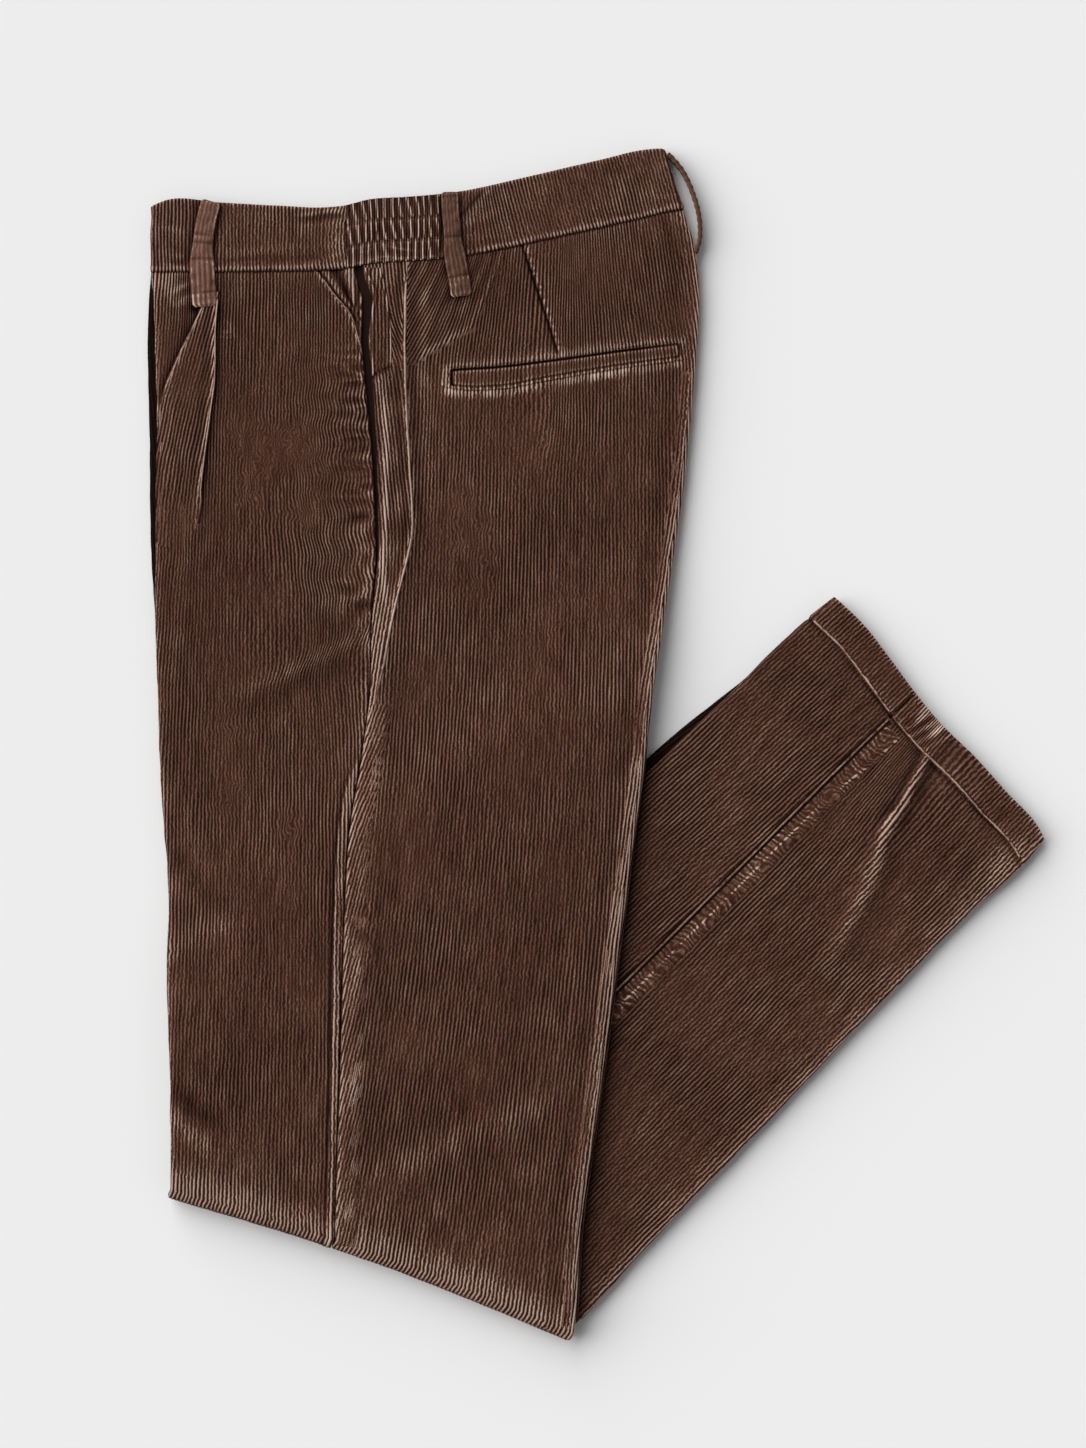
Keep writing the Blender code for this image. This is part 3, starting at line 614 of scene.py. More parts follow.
def make_piece(name, arrays, finish, upward=None):
    """Puts arrays into a mesh: used points only, wale number and distance along as a UV map, and
    how worn the cloth is, with its painted shade, as an attribute. Faces are turned so that they point out."""
    used, triangles = np.unique(arrays["triangles"], return_inverse=True)
    triangles = triangles.reshape(-1, 3)
    points = arrays["points"][used]
    if upward is not None:
        corner = points[triangles]
        normal = np.cross(corner[:, 1] - corner[:, 0], corner[:, 2] - corner[:, 0])
        if (normal[:, 2].sum() > 0) != upward:
            triangles = triangles[:, ::-1]
    mesh = bpy.data.meshes.new(name)
    mesh.vertices.add(len(points))
    mesh.vertices.foreach_set("co", (points * MM).astype(np.float32).reshape(-1))
    mesh.loops.add(triangles.size)
    mesh.loops.foreach_set("vertex_index", triangles.astype(np.int32).reshape(-1))
    mesh.polygons.add(len(triangles))
    mesh.polygons.foreach_set("loop_start", np.arange(0, triangles.size, 3, dtype=np.int32))
    mesh.update(calc_edges=True)
    mesh.validate()
    mesh.shade_smooth()
    uv = np.stack([arrays["number"][used], arrays["along"][used]], axis=1)
    layer = mesh.uv_layers.new(name="wales")
    layer.data.foreach_set("uv", uv[triangles.reshape(-1)].astype(np.float32).reshape(-1))
    for key in ("wear", "crush"):
        layer = mesh.attributes.new(key, "FLOAT", "POINT")
        layer.data.foreach_set("value", arrays[key][used].astype(np.float32))
    mesh.materials.append(finish)
    piece = bpy.data.objects.new(name, mesh)
    bpy.context.scene.collection.objects.link(piece)
    return piece


def dress(piece, slot, *nodes):
    """Gives a piece its body, and hides the nodes that it replaces. slot is not used."""
    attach(piece, BODY)
    if nodes:
        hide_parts(*nodes)
    return piece


def surface_area(points, triangles):
    """Area of the triangles in square metres, from points in millimetres."""
    corner = points[triangles] * MM
    cross = np.cross(corner[:, 1] - corner[:, 0], corner[:, 2] - corner[:, 0])
    return float(np.linalg.norm(cross, axis=1).sum() / 2)


def cut_piece(name, patches, finish, flat, nodes, upward, own=1):
    """A finished piece of cloth. flat, the size that what shows of it was cut to, is not used. The first
    `own` patches are the cloth itself and the others lie on it; their area without the wales' relief
    is worked out."""
    bare = [patch.pop("bare", None) for patch in patches]
    area = sum(surface_area(bare[k], patches[k]["triangles"]) for k in range(own))
    piece = make_piece(name, joined(patches), finish, upward)
    dress(piece, "corduroy", *nodes)
    return piece


# ---------------------------------------------------------------- rows


def plain_rows(v):
    """Rows at the shares v, moved neither along the cloth nor out of it."""
    v = np.asarray(v, float)
    return np.stack([v, 0 * v, 0 * v], axis=1)


def turned_rows(radius, run, steps=5):
    """Rows round a turned edge at v = 0: up the inside for a run, then half a turn of radius."""
    inside = np.linspace(run, radius, 4)[:-1]
    turn = np.linspace(np.pi, 0, steps)
    rows = [(0.0, -d, -2 * radius) for d in inside]
    rows += [(0.0, -radius + radius * np.sin(t), -radius * (1 - np.cos(t))) for t in turn]
    return np.array(rows)


def tucked_rows(radius, sign, v, steps=3):
    """Rows that turn a quarter round into a seam at v. sign is the way along the cloth there."""
    turn = np.linspace(0, np.pi / 2, steps + 1)[1:]
    rows = [(v, sign * (radius * np.sin(t) - radius), -radius * (1 - np.cos(t))) for t in turn]
    return np.array(rows)


# ---------------------------------------------------------------- finishes


def colour_ramp(tree, stops):
    """A colour ramp node with the given stops."""
    ramp = tree.nodes.new("ShaderNodeValToRGB")
    elements = ramp.color_ramp.elements
    while len(elements) < len(stops):
        elements.new(1.0)
    for element, (at, colour) in zip(elements, stops):
        element.position = at
        element.color = (*colour, 1.0)
    return ramp


def corduroy(name, colours, contrast=1.0, nap=1.0):
    """Corduroy: the UV map's u counts the wales and v is the distance along them in millimetres.
    Grooves are dark, partly as painted shade, crests are worn lighter in long uneven streaks, and patches of
    nap lie flat. Where the per-point attribute is below 0, shade is painted: the colour is mixed towards
    near-black."""
    found = bpy.data.materials.get(name)
    if found:
        return found
    made = bpy.data.materials.new(name)
    made.use_nodes = True
    tree = made.node_tree
    shader = tree.nodes["Principled BSDF"]
    link = tree.links.new

    def node(kind, **values):
        new = tree.nodes.new(kind)
        for key, value in values.items():
            setattr(new, key, value)
        return new

    def maths(operation, a, b=None, c=None, clamp=False):
        new = node("ShaderNodeMath", operation=operation, use_clamp=clamp)
        for socket, value in zip(new.inputs, (a, b, c)):
            if value is None:
                continue
            if isinstance(value, (int, float)):
                socket.default_value = value
            else:
                link(value, socket)
        return new.outputs[0]

    uv = node("ShaderNodeUVMap", uv_map="wales")
    split = node("ShaderNodeSeparateXYZ")
    link(uv.outputs[0], split.inputs[0])
    u, v = split.outputs[0], split.outputs[1]

    def noise(vector_parts, scale, detail=3.0, rough=0.5):
        combined = node("ShaderNodeCombineXYZ")
        for socket, part in zip(combined.inputs, vector_parts):
            if isinstance(part, (int, float)):
                socket.default_value = part
            else:
                link(part, socket)
        texture = node("ShaderNodeTexNoise")
        texture.inputs["Scale"].default_value = scale
        texture.inputs["Detail"].default_value = detail
        texture.inputs["Roughness"].default_value = rough
        link(combined.outputs[0], texture.inputs["Vector"])
        return texture.outputs["Fac"]

    streak = noise((maths("MULTIPLY", u, 0.9), maths("MULTIPLY", v, 0.055), 0.0), 1.0, 2.0)
    fleck = noise((maths("MULTIPLY", u, 2.2), maths("MULTIPLY", v, 0.9), 3.0), 1.0, 3.0, 0.7)
    place = node("ShaderNodeTexCoord")
    patch = node("ShaderNodeTexNoise")
    patch.inputs["Scale"].default_value = 26.0
    patch.inputs["Detail"].default_value = 3.0
    link(place.outputs["Object"], patch.inputs["Vector"])
    nap_fibre = node("ShaderNodeTexNoise")
    nap_fibre.inputs["Scale"].default_value = 1700.0
    nap_fibre.inputs["Detail"].default_value = 3.0
    link(place.outputs["Object"], nap_fibre.inputs["Vector"])
    worn = node("ShaderNodeAttribute", attribute_name="wear")
    crush = node("ShaderNodeAttribute", attribute_name="crush").outputs["Fac"]

    # bright is the worn part of the attribute; dark is its painted shade, where it is below 0.
    bright = maths("MAXIMUM", worn.outputs["Fac"], 0.0)
    dark = maths("MAXIMUM", maths("MULTIPLY", worn.outputs["Fac"], -1.0), 0.0, clamp=True)
    depth = maths("MULTIPLY_ADD", patch.outputs["Fac"], 3.2, -1.05, clamp=True)
    depth = maths("MULTIPLY", depth, maths("SUBTRACT", 1.0, crush, clamp=True))
    depth = maths("MAXIMUM", depth, bright, clamp=True)
    swirl = node("ShaderNodeTexNoise")
    swirl.inputs["Scale"].default_value = 330.0
    swirl.inputs["Detail"].default_value = 2.0
    link(place.outputs["Object"], swirl.inputs["Vector"])
    matted = maths("MULTIPLY_ADD", depth, -1.3, 1.6)
    wander = maths("MULTIPLY", maths("SUBTRACT", swirl.outputs["Fac"], 0.5), matted)
    curl = node("ShaderNodeTexNoise")
    curl.inputs["Scale"].default_value = 150.0
    curl.inputs["Detail"].default_value = 0.5
    link(place.outputs["Object"], curl.inputs["Vector"])
    curled = maths("MULTIPLY", crush, maths("MULTIPLY_ADD", curl.outputs["Fac"], 5.0, -2.5))
    wander = maths("ADD", wander, curled)
    wave = maths("COSINE", maths("MULTIPLY", maths("ADD", u, wander), 2 * np.pi))
    profile = maths("MULTIPLY_ADD", wave, -0.5, 0.5)
    swing = maths("MULTIPLY_ADD", depth, 0.50 * contrast, 0.30 * contrast)
    swing = maths("MULTIPLY", swing, maths("MULTIPLY_ADD", crush, -0.40, 1.0))
    swing = maths("MULTIPLY", maths("SUBTRACT", profile, 0.60), swing)
    tone = maths("MULTIPLY_ADD", maths("SUBTRACT", streak, 0.5), 0.42, swing)
    tone = maths("MULTIPLY_ADD", maths("SUBTRACT", fleck, 0.5), 0.40, tone)
    tone = maths("MULTIPLY_ADD", maths("SUBTRACT", nap_fibre.outputs["Fac"], 0.5), 0.40, tone)
    broad = node("ShaderNodeTexNoise")
    broad.inputs["Scale"].default_value = 17.0
    broad.inputs["Detail"].default_value = 4.0
    broad.inputs["Roughness"].default_value = 0.6
    link(place.outputs["Object"], broad.inputs["Vector"])
    tone = maths("MULTIPLY_ADD", maths("SUBTRACT", broad.outputs["Fac"], 0.5), 0.30, tone)
    lift = maths("MULTIPLY", bright, maths("MULTIPLY_ADD", profile, 0.50, 0.10))
    bare = maths("MAXIMUM", maths("SUBTRACT", worn.outputs["Fac"], 1.0), 0.0)
    tone = maths("ADD", tone, maths("MULTIPLY_ADD", bare, 0.15, lift))
    tone = maths("ADD", tone, 0.42, clamp=True)
    # The groove stop is darker than the ground partly as painted shade in the grooves.
    stops = ((0.0, "groove"), (0.42, "ground"), (0.72, "crest"), (1.0, "worn"))
    ramp = colour_ramp(tree, tuple((at, colours[key]) for at, key in stops))
    link(tone, ramp.inputs[0])
    # Painted shade: the colour is mixed towards near-black by dark.
    shaded = node("ShaderNodeMix", data_type="RGBA")
    link(maths("MULTIPLY", dark, 0.96), shaded.inputs[0])
    link(ramp.outputs[0], shaded.inputs[6])
    shaded.inputs[7].default_value = (0.003, 0.0009, 0.0006, 1.0)
    pale = node("ShaderNodeMix", data_type="RGBA")
    link(maths("MULTIPLY", bare, maths("MULTIPLY_ADD", profile, 1.1, -0.15), clamp=True), pale.inputs[0])
    link(shaded.outputs[2], pale.inputs[6])
    pale.inputs[7].default_value = (0.66, 0.52, 0.44, 1.0)
    link(pale.outputs[2], shader.inputs["Base Color"])

    height = maths("MULTIPLY_ADD", nap_fibre.outputs["Fac"], 0.35, maths("MULTIPLY", fleck, 0.4))
    height = maths("MULTIPLY_ADD", profile, 1.2, height)
    bump = node("ShaderNodeBump")
    bump.inputs["Strength"].default_value = 0.5 * nap
    bump.inputs["Distance"].default_value = 0.0003
    link(height, bump.inputs["Height"])
    link(bump.outputs[0], shader.inputs["Normal"])
    shader.inputs["Roughness"].default_value = 0.92
    shader.inputs["Specular IOR Level"].default_value = 0.05
    # Less sheen where shade is painted, so that it stays dark.
    link(maths("MULTIPLY_ADD", dark, -0.06, 0.06), shader.inputs["Sheen Weight"])
    shader.inputs["Sheen Roughness"].default_value = 0.45
    shader.inputs["Sheen Tint"].default_value = (0.80, 0.50, 0.40, 1.0)
    return made


def woven(name, dark, light, scale):
    """The plain twill back of the cloth, or thread."""
    found = bpy.data.materials.get(name)
    if found:
        return found
    made = bpy.data.materials.new(name)
    made.use_nodes = True
    tree = made.node_tree
    shader = tree.nodes["Principled BSDF"]
    place = tree.nodes.new("ShaderNodeTexCoord")
    twill = tree.nodes.new("ShaderNodeTexWave")
    twill.bands_direction = "DIAGONAL"
    twill.inputs["Scale"].default_value = scale
    twill.inputs["Distortion"].default_value = 1.5
    tree.links.new(place.outputs["Object"], twill.inputs["Vector"])
    ramp = colour_ramp(tree, ((0.0, dark), (1.0, light)))
    tree.links.new(twill.outputs["Fac"], ramp.inputs[0])
    tree.links.new(ramp.outputs[0], shader.inputs["Base Color"])
    bump = tree.nodes.new("ShaderNodeBump")
    bump.inputs["Strength"].default_value = 0.4
    bump.inputs["Distance"].default_value = 0.0002
    tree.links.new(twill.outputs["Fac"], bump.inputs["Height"])
    tree.links.new(bump.outputs[0], shader.inputs["Normal"])
    shader.inputs["Roughness"].default_value = 0.95
    shader.inputs["Specular IOR Level"].default_value = 0.1
    return made


# ---------------------------------------------------------------- settings


class TrouserSizes(bpy.types.PropertyGroup):
    wale_height: bpy.props.FloatProperty(
        name="Wale height", description="From groove to crest", default=0.0005,
        unit="LENGTH", subtype="DISTANCE",
    )
    thigh_pitch: bpy.props.FloatProperty(
        name="Thigh wale pitch", description="From wale to wale on the thighs", default=0.00205,
        unit="LENGTH", subtype="DISTANCE",
    )
    calf_pitch: bpy.props.FloatProperty(
        name="Calf wale pitch", description="From wale to wale below the knee", default=0.00222,
        unit="LENGTH", subtype="DISTANCE",
    )


class TrouserColours(bpy.types.PropertyGroup):
    # Darker than the ground partly as painted shade between the wales.
    groove: bpy.props.FloatVectorProperty(
        name="Groove", description="Between the wales", default=(0.012, 0.0036, 0.0020), subtype="COLOR",
    )
    ground: bpy.props.FloatVectorProperty(
        name="Ground", description="The cloth's middle colour", default=(0.066, 0.0262, 0.0172),
        subtype="COLOR",
    )
    crest: bpy.props.FloatVectorProperty(
        name="Crest", description="Along the wales", default=(0.150, 0.0780, 0.0550), subtype="COLOR",
    )
    worn: bpy.props.FloatVectorProperty(
        name="Worn", description="Where the nap is rubbed pale", default=(0.40, 0.285, 0.230),
        subtype="COLOR",
    )
    paper: bpy.props.FloatVectorProperty(
        name="Floor", description="The pale floor", default=(0.80, 0.80, 0.80), subtype="COLOR",
    )


def sizes():
    """The add-on's sizes."""
    return bpy.context.scene.trouser_sizes


def colours():
    """The add-on's colours, by name."""
    chosen = bpy.context.scene.trouser_colours
    return {key: tuple(getattr(chosen, key)) for key in ("groove", "ground", "crest", "worn", "paper")}


def brown():
    """Corduroy in the add-on's colours."""
    return corduroy("corduroy_brown", colours())


def brown_rubbed(name, paler):
    """The belt loops' cloth is rubbed: each of its colours is mixed with the next paler one."""
    order = ("groove", "ground", "crest", "worn", "worn")
    mixed = colours()
    rubbed = {}
    for key, next_key in zip(order[:-1], order[1:]):
        share = 0.5 if key in ("groove", "ground") else 0.1
        pairs = zip(mixed[key], mixed[next_key])
        rubbed[key] = tuple(min(paler * (part + share * (other - part)), 0.9) for part, other in pairs)
    return corduroy(f"corduroy_brown_rubbed_{name}", rubbed, contrast=0.5)


# ---------------------------------------------------------------- thighs

COLUMNS_A_WALE = 4
NEAR_TOP = tucked_rows(1.2, 1, 0.0)[::-1]
# Rows lie closer together down to the side pocket's lower end.
THIGH_V = np.concatenate([np.linspace(0, 0.24, 90)[1:], np.linspace(0.24, 1, 94)[1:]])
BEND_V = 1 + np.linspace(0, 1, 12)[1:]


def numbers_for(wales, low, high, b_range, per_wale=COLUMNS_A_WALE):
    """Wale numbers whose columns cover low..high at every distance in b_range."""
    n = np.arange(-150, 150, 1.0 / per_wale)
    levels = np.linspace(*b_range, 60)[:, None]
    a = wales(np.broadcast_to(n, (60, len(n))), np.broadcast_to(levels, (60, len(n))))
    inside = ((a > low(levels)) & (a < high(levels))).any(axis=0)
    kept = np.flatnonzero(inside)
    return n[max(kept[0] - 1, 0) : kept[-1] + 2]


def front_lean(x, y):
    """The front's wales hang nearly straight and lean with the folded edge next to it."""
    pinch = 0.03 * bell((x + 185) / 30) * bell((y - 185) / 45)
    left = 0.05 * bell((x + 258) / 26) * smooth((y + 40) / 120)
    kink = 0.45 * slanted_band(x, y) - 0.085 * smooth((x + 214) / 44) * bell((y - 122) / 40)
    crumple = kink - 0.10 * bell((x + 150) / 16) * bell((y - 20) / 18)
    low = 0.010 + 0.02 * smooth((-60 - y) / 160)
    return low + pinch + left + crumple + front_wiggle(x, y) - 0.00025 * (x + 195)


def slanted_band(x, y):
    """1 along the slanted crease that runs into the side seam below the pocket, 0 away from it."""
    return bell((y - 61 - 0.47 * (x + 136)) / 6.5) * smooth((x + 214) / 44)


def front_wiggle(x, y):
    """Small kinks in the wales beside the side pocket, and fainter ones on the rest."""
    beside = smooth((x + 186) / 34) * smooth((y - 66) / 24) * smooth((232 - y) / 24)
    return (0.02 + 0.26 * beside) * np.cos(y / 3.2 + 2 * ripple(x / 16, y / 40, 181))


def front_crush(x, y):
    """Crushed patches of the front: a large one in its upper middle and small ones round it."""
    patchy = 0.85 + 0.30 * ripple(x / 9, y / 8, 185)
    middle = bell((x + 183 + 0.10 * (y - 162)) / 32) * bell((y - 162) / 44)
    low = 0.6 * bell((x + 212) / 24) * bell((y + 6) / 50) + 0.6 * bell((x + 178) / 14) * bell((y + 66) / 46)
    return smooth(((middle + low) * patchy - 0.20) / 0.75)


def back_crush(x, y):
    """Crushed patches of the back, in upright streaks below the pocket."""
    streaks = np.clip(0.30 + 0.75 * ripple(x / 7, y / 26, 187), 0, 1)
    upper = bell((x + 62) / 34) * bell((y - 150) / 60) + 0.7 * bell((x + 40) / 26) * bell((y - 60) / 60)
    right = 0.6 * bell((x - 8) / 14) * bell((y - 150) / 40)
    return 0.45 * smooth(((1.1 * upper + right) * streaks - 0.10) / 0.80)


def back_lean(x, y):
    """The back's wales lie with its folded edge low down, and fan out from the side ridge above."""
    low = (
        0.02 + 0.115 * smooth((150 - y) / 430)
        + 0.16 * bell((x + 28) / 13) * np.cos((y - 168) / 16) * bell((y - 176) / 26)
    )
    fan = (0.16 * (1 - smooth((x + 114) / 120)) - 0.14 * smooth((x + 30) / 60)) * smooth((y - 206) / 30)
    return low + fan - 0.0003 * (x + 45)


def strip_lean(x, y):
    """Between the side seam and the ridge the wales run into the ridge, and lower down the seam."""
    chevron = 0.38 * bell((y - 234) / 15)
    return -0.10 * smooth((y - 112) / 20) + 0.16 * smooth((112 - y) / 25) - chevron


def side_drop(off, radius=1.3):
    """How far cloth turns down into a seam, off millimetres in from it."""
    t = np.clip(off / radius, 0, 1)
    return -radius * (1 - np.sqrt(1 - (1 - t) ** 2))


def crumpled(x, y, seed):
    """Fine creases that come and go: folded noise, sharper at its crests."""
    drift = ripple(x / 9, y / 12, seed)
    return 1 - np.abs(ripple(x / 3.4 + drift, y / 1.7, seed + 1))


def under_band(x, y, seed):
    """Short puckers where a panel is sewn to the waistband."""
    return np.sin(x * 2.3 + 1.8 * ripple(x / 5, y / 6, seed)) * np.exp(-np.maximum(WAIST_SEAM(x) - y, 0) / 6)


def front_relief(x, y):
    """Folds, seams and puckers of the front, in millimetres."""
    seam = THIGH["front_seam"](y) - x
    pocket = x - POCKET_MOUTH(y)
    corner = smooth((y - 234) / 14)
    rays = 0.8 * np.cos(11 * np.arctan2(y - 250, x + 139)) * smooth((pocket - 1) / 3)
    mouth = (
        0.35 * bell((pocket + 0.8) / 1.0) * smooth((y - 166) / 8)
        - corner * (0.8 * smooth(pocket / 1.2) - rays)
    )
    beside = (
        (bell((seam - 4) / 7) + 0.45 * bell((seam - 16) / 12)) * smooth((y - 60) / 20)
        * smooth((236 - y) / 12)
    )
    puckers = 1.2 * crumpled(x / 1.6, y, 61) * beside
    sliver = 0.7 * smooth((sliver_width(y) - seam) / 1.2) * smooth(-y / 20)
    left_fold = folds(((-229.0, 262.0, -252.0, 196.0, -0.7, 5.0, 0.25),), x, y)
    left_fold = left_fold + 0.9 * crumpled(x * 1.1, y, 178) * bell((x + 240) / 8) * bell((y - 262) / 10)
    soft = 0.20 * ripple(x / 7, y / 11, 3) + 0.10 * ripple(x / 2.6, y / 3.4, 4)
    sewn = side_drop(seam) + 0.25 * under_band(x, y, 7)
    return under_knee(x, y, folds(FRONT_FOLDS, x, y) + left_fold + mouth + puckers + soft + sliver + sewn)


def under_knee(x, y, relief):
    """Flattens the relief where the cloth has turned under at the knee and lies on the floor."""
    on_top = 1 - smooth((past_fold(x, y) - 10) / 12)
    return relief * on_top - 0.3 * (1 - on_top)


def sliver_width(y):
    """Width of the narrow fold on the front beside the side seam, below the pocket."""
    return 1.0 + 5.4 * smooth(-y / 28) - 1.6 * smooth((-y - 60) / 200)


def knee_rub(x, y):
    """Paler towards the knee fold, and plain again where the cloth has turned under."""
    past = past_fold(x, y)
    rub = 0.18 * smooth((past + 60) / 50) + 0.52 * smooth((past + 20) / 18)
    return rub * (1 - 0.9 * smooth((past - 5) / 6))


def front_wear_and_shade(x, y):
    """How worn the front's wales are, with painted shade: lighter above 0, and darker below, where shade and
    shadow are painted.
    """
    edge = bell((x - THIGH["near_front"](y)) / 3.0)
    seam = THIGH["front_seam"](y) - x
    pocket = x - POCKET_MOUTH(y)
    knee = knee_rub(x, y)
    mouth = 0.65 * bell((pocket + 0.8) / 0.8) * smooth((y - 232) / 6)
    # Painted shade in the gap behind the pocket's edge.
    behind = -0.8 * bell((pocket - 1.0) / 1.0) * smooth((y - 236) / 10)
    # Radiating folds at the pocket's corner, painted lighter on their crests and darker in their hollows.
    rays = (
        0.5 * np.cos(11 * np.arctan2(y - 250, x + 139)) * smooth((pocket - 1.5) / 2)
        * smooth((y - 244) / 8)
    )
    behind = behind + rays
    pleat = x - PLEAT_OUTER(y)
    # Painted shadow along the pleat's outer fold.
    crease = (
        -1.0 * np.exp(-np.maximum(-pleat, 0) / 2.4) * (pleat < 1) * smooth((y - 194) / 8)
        * smooth((263 - y) / 5)
    )
    crest = x - PLEAT_CREST(y)
    # Painted shade in the hollow beside the pleat's crest.
    valley_shade = -0.85 * np.exp(-np.maximum(crest, 0) / 1.5) * smooth((y - 128) / 30) * (x > PLEAT_CREST(y))
    top = 0.6 * bell((x + 248) / 7) * bell((y - 268) / 5)
    top = top + 0.7 * crumpled(x * 1.1, y, 178) ** 3 * bell((x + 240) / 8) * bell((y - 262) / 9)
    top = top + 0.8 * crumpled(x * 1.2, y, 175) ** 2 * bell((x + 214) / 5) * bell((y - 239) / 6)
    band = 0.25 * np.exp(-np.maximum(WAIST_SEAM(x) - y - 1.5, 0) / 5)
    # Painted shade under the waistband's seam.
    under = -0.9 * bell((WAIST_SEAM(x) - y) / 0.9)
    hem = 0.18 * np.exp(-np.maximum(seam, 0) / 4) * smooth((160 - y) / 60)
    # The narrow fold beside the side seam: lighter along its edge, with painted shade beside it.
    fold = (
        0.45 * bell((sliver_width(y) - 1.6 - seam) / 0.9)
        - 0.9 * bell((seam - sliver_width(y) - 0.3) / 1.0)
    )
    hem = hem + fold * smooth(-y / 24)
    wear = 0.35 * edge + knee + mouth + behind + crease + valley_shade + top + band + under + hem
    return wear + 0.14 * slanted_band(x, y) + loop_shadow(x, y)


def ridge_height(y):
    """The side ridge's height along the leg, fading out at both ends."""
    return 1.9 * smooth((288 - y) / 30) * smooth((y + 20) / 130)


def welt_inset(x, y):
    """Distance in from the welt's slit, a rectangle with rounded corners."""
    up = np.minimum(WELT_HIGH(x) - 1.4 - y, y - WELT_LOW(x) - 1.9)
    side = np.minimum(x + 83.4, 48.6 - x)
    corner = 0.6 + 1.6 * (x > 0)
    rounded = corner - np.hypot(corner - up, corner - side)
    return np.where((up < corner) & (side < corner), rounded, np.minimum(up, side))


def welt_mouth(x, y):
    """1 along the slit's open upper side and its left end, and 0 along its sewn lower side: there the slit is
    sunk deeper and its painted shade is darker.
    """
    upper = smooth((y - (WELT_LOW(x) + WELT_HIGH(x)) / 2) / 2)
    return np.maximum(upper, smooth((-81.5 - x) / 1.0)) * (1 - 0.6 * smooth((x - 20) / 25))


def back_relief(x, y):
    """Folds, seams and puckers of the back, in millimetres."""
    return under_knee(x, y, back_ground(x, y) - 1.8 * smooth((welt_inset(x, y) + 1.6) / 0.8))


def back_ground(x, y):
    seam = x - THIGH["back_seam"](y)
    off = np.maximum(x - RIDGE(y), 0)
    ridge = ridge_height(y) * (0.7 * np.exp(-off / 5.5) + 0.3 * np.exp(-off / 1.5))
    dart = x - DART_SEAM(y)
    sewn = smooth((y - 223) / 4)
    puckers = 0.35 * bell((dart - 2.2) / 2.2) * np.cos(y * 1.45 + ripple(x / 4, y / 5, 70)) * sewn
    seam_line = -0.8 * bell(dart / 0.9) * sewn + 0.5 * bell((dart - 1.9) / 1.6) * sewn
    gathers = 0.5 * crumpled(x / 2.2, y / 4.5, 64) * bell((x + 96) / 14) * smooth((y - 232) / 20)
    soft = 0.22 * ripple(x / 8, y / 12, 5) + 0.10 * ripple(x / 2.6, y / 3.6, 6)
    total = folds(BACK_FOLDS, x, y) + ridge + puckers + seam_line + gathers + soft + side_drop(seam)
    return total + 0.25 * under_band(x, y, 8)


def back_wear_and_shade(x, y):
    """How worn the back's wales are, with painted shade: lighter above 0, and darker below, where shade and
    shadow are painted.
    """
    from_edge = THIGH["near_back"](y) - x
    edge = 0.75 * bell((from_edge - 0.6) / 1.2) + 0.55 * np.exp(-np.maximum(from_edge, 0) / 7)
    edge = edge - 0.25 * bell((from_edge - 14) / 5)
    knee = knee_rub(x, y)
    seam = x - THIGH["back_seam"](y)
    raised = 0.20 * bell((seam - 7) / 7.5) * smooth((104 - y) / 20)
    ridge = 0.6 * bell((x - RIDGE(y)) / 1.8) * smooth((y - 10) / 60)
    # Painted shade on the side ridge's far flank.
    flank_shade = -0.32 * bell((x - RIDGE(y) - 4.6) / 2.2) * smooth((y - 100) / 40)
    welt = x * 0 + bell((WELT_LOW(x) - y - 1.8) / 2.4) * smooth((x + 92) / 3) * smooth((54 - x) / 3)
    over = bell((y - WELT_HIGH(x) - 1.0) / 1.2) * smooth((x + 92) / 3) * smooth((54 - x) / 3)
    dart = x - DART_SEAM(y)
    sewn = smooth((y - 223) / 4)
    dashes = 0.5 * bell((dart - 1.8) / 1.4) * (0.6 + 0.6 * np.cos(y * 1.45 + ripple(x / 4, y / 5, 70))) * sewn
    # Painted shade in the dart's seam.
    cut = -0.9 * bell(dart / 0.8) * sewn
    band = 0.2 * np.exp(-np.maximum(WAIST_SEAM(x) - y - 1.5, 0) / 5)
    # Painted shade under the waistband's seam.
    under = -0.9 * bell((WAIST_SEAM(x) - y) / 0.9)
    patch = 0.5 * bell((x + 19.5) / 3.0) * bell((y - 224) / 4.0)
    patch = patch + 0.22 * bell((x + 100) / 9) * smooth((222 - y) / 12) * smooth((y - 100) / 60)
    patch = patch + 0.16 * bell((x + 28) / 12) * bell((y - 178) / 26)
    spots = (
        (0.55 + 0.45 * ripple(x / 1.6, y / 3, 83))
        * np.clip(0.75 + 0.5 * ripple(x / 8, 0 * y, 84), 0.2, 1.3)
    )
    return (
        edge + knee + raised + ridge + flank_shade + 1.35 * welt * spots + 0.5 * over
        + dashes + cut + band + under + patch + loop_shadow(x, y)
    )


def strip_relief(x, y):
    """Folds of the strip between side seam and ridge, in millimetres."""
    seam = x - THIGH["back_seam"](y)
    off = np.maximum(RIDGE(y) - x, 0)
    ridge = ridge_height(y) * (0.45 * np.exp(-off / 5.0) + 0.55 * np.exp(-off / 1.8))
    second = (
        1.0 * bell((x + 121.5 + 1.2 * ripple(0 * x, y / 9, 90)) / 2.0) * smooth((y - 74) / 20)
        * smooth((207 - y) / 12)
    )
    soft = 0.30 * ripple(x / 2.4, y / 6, 91) + 0.15 * ripple(x / 6, y / 3, 92)
    return folds(BACK_FOLDS[:1], x, y) + ridge + second + side_drop(seam) + soft * smooth((y - 80) / 30)


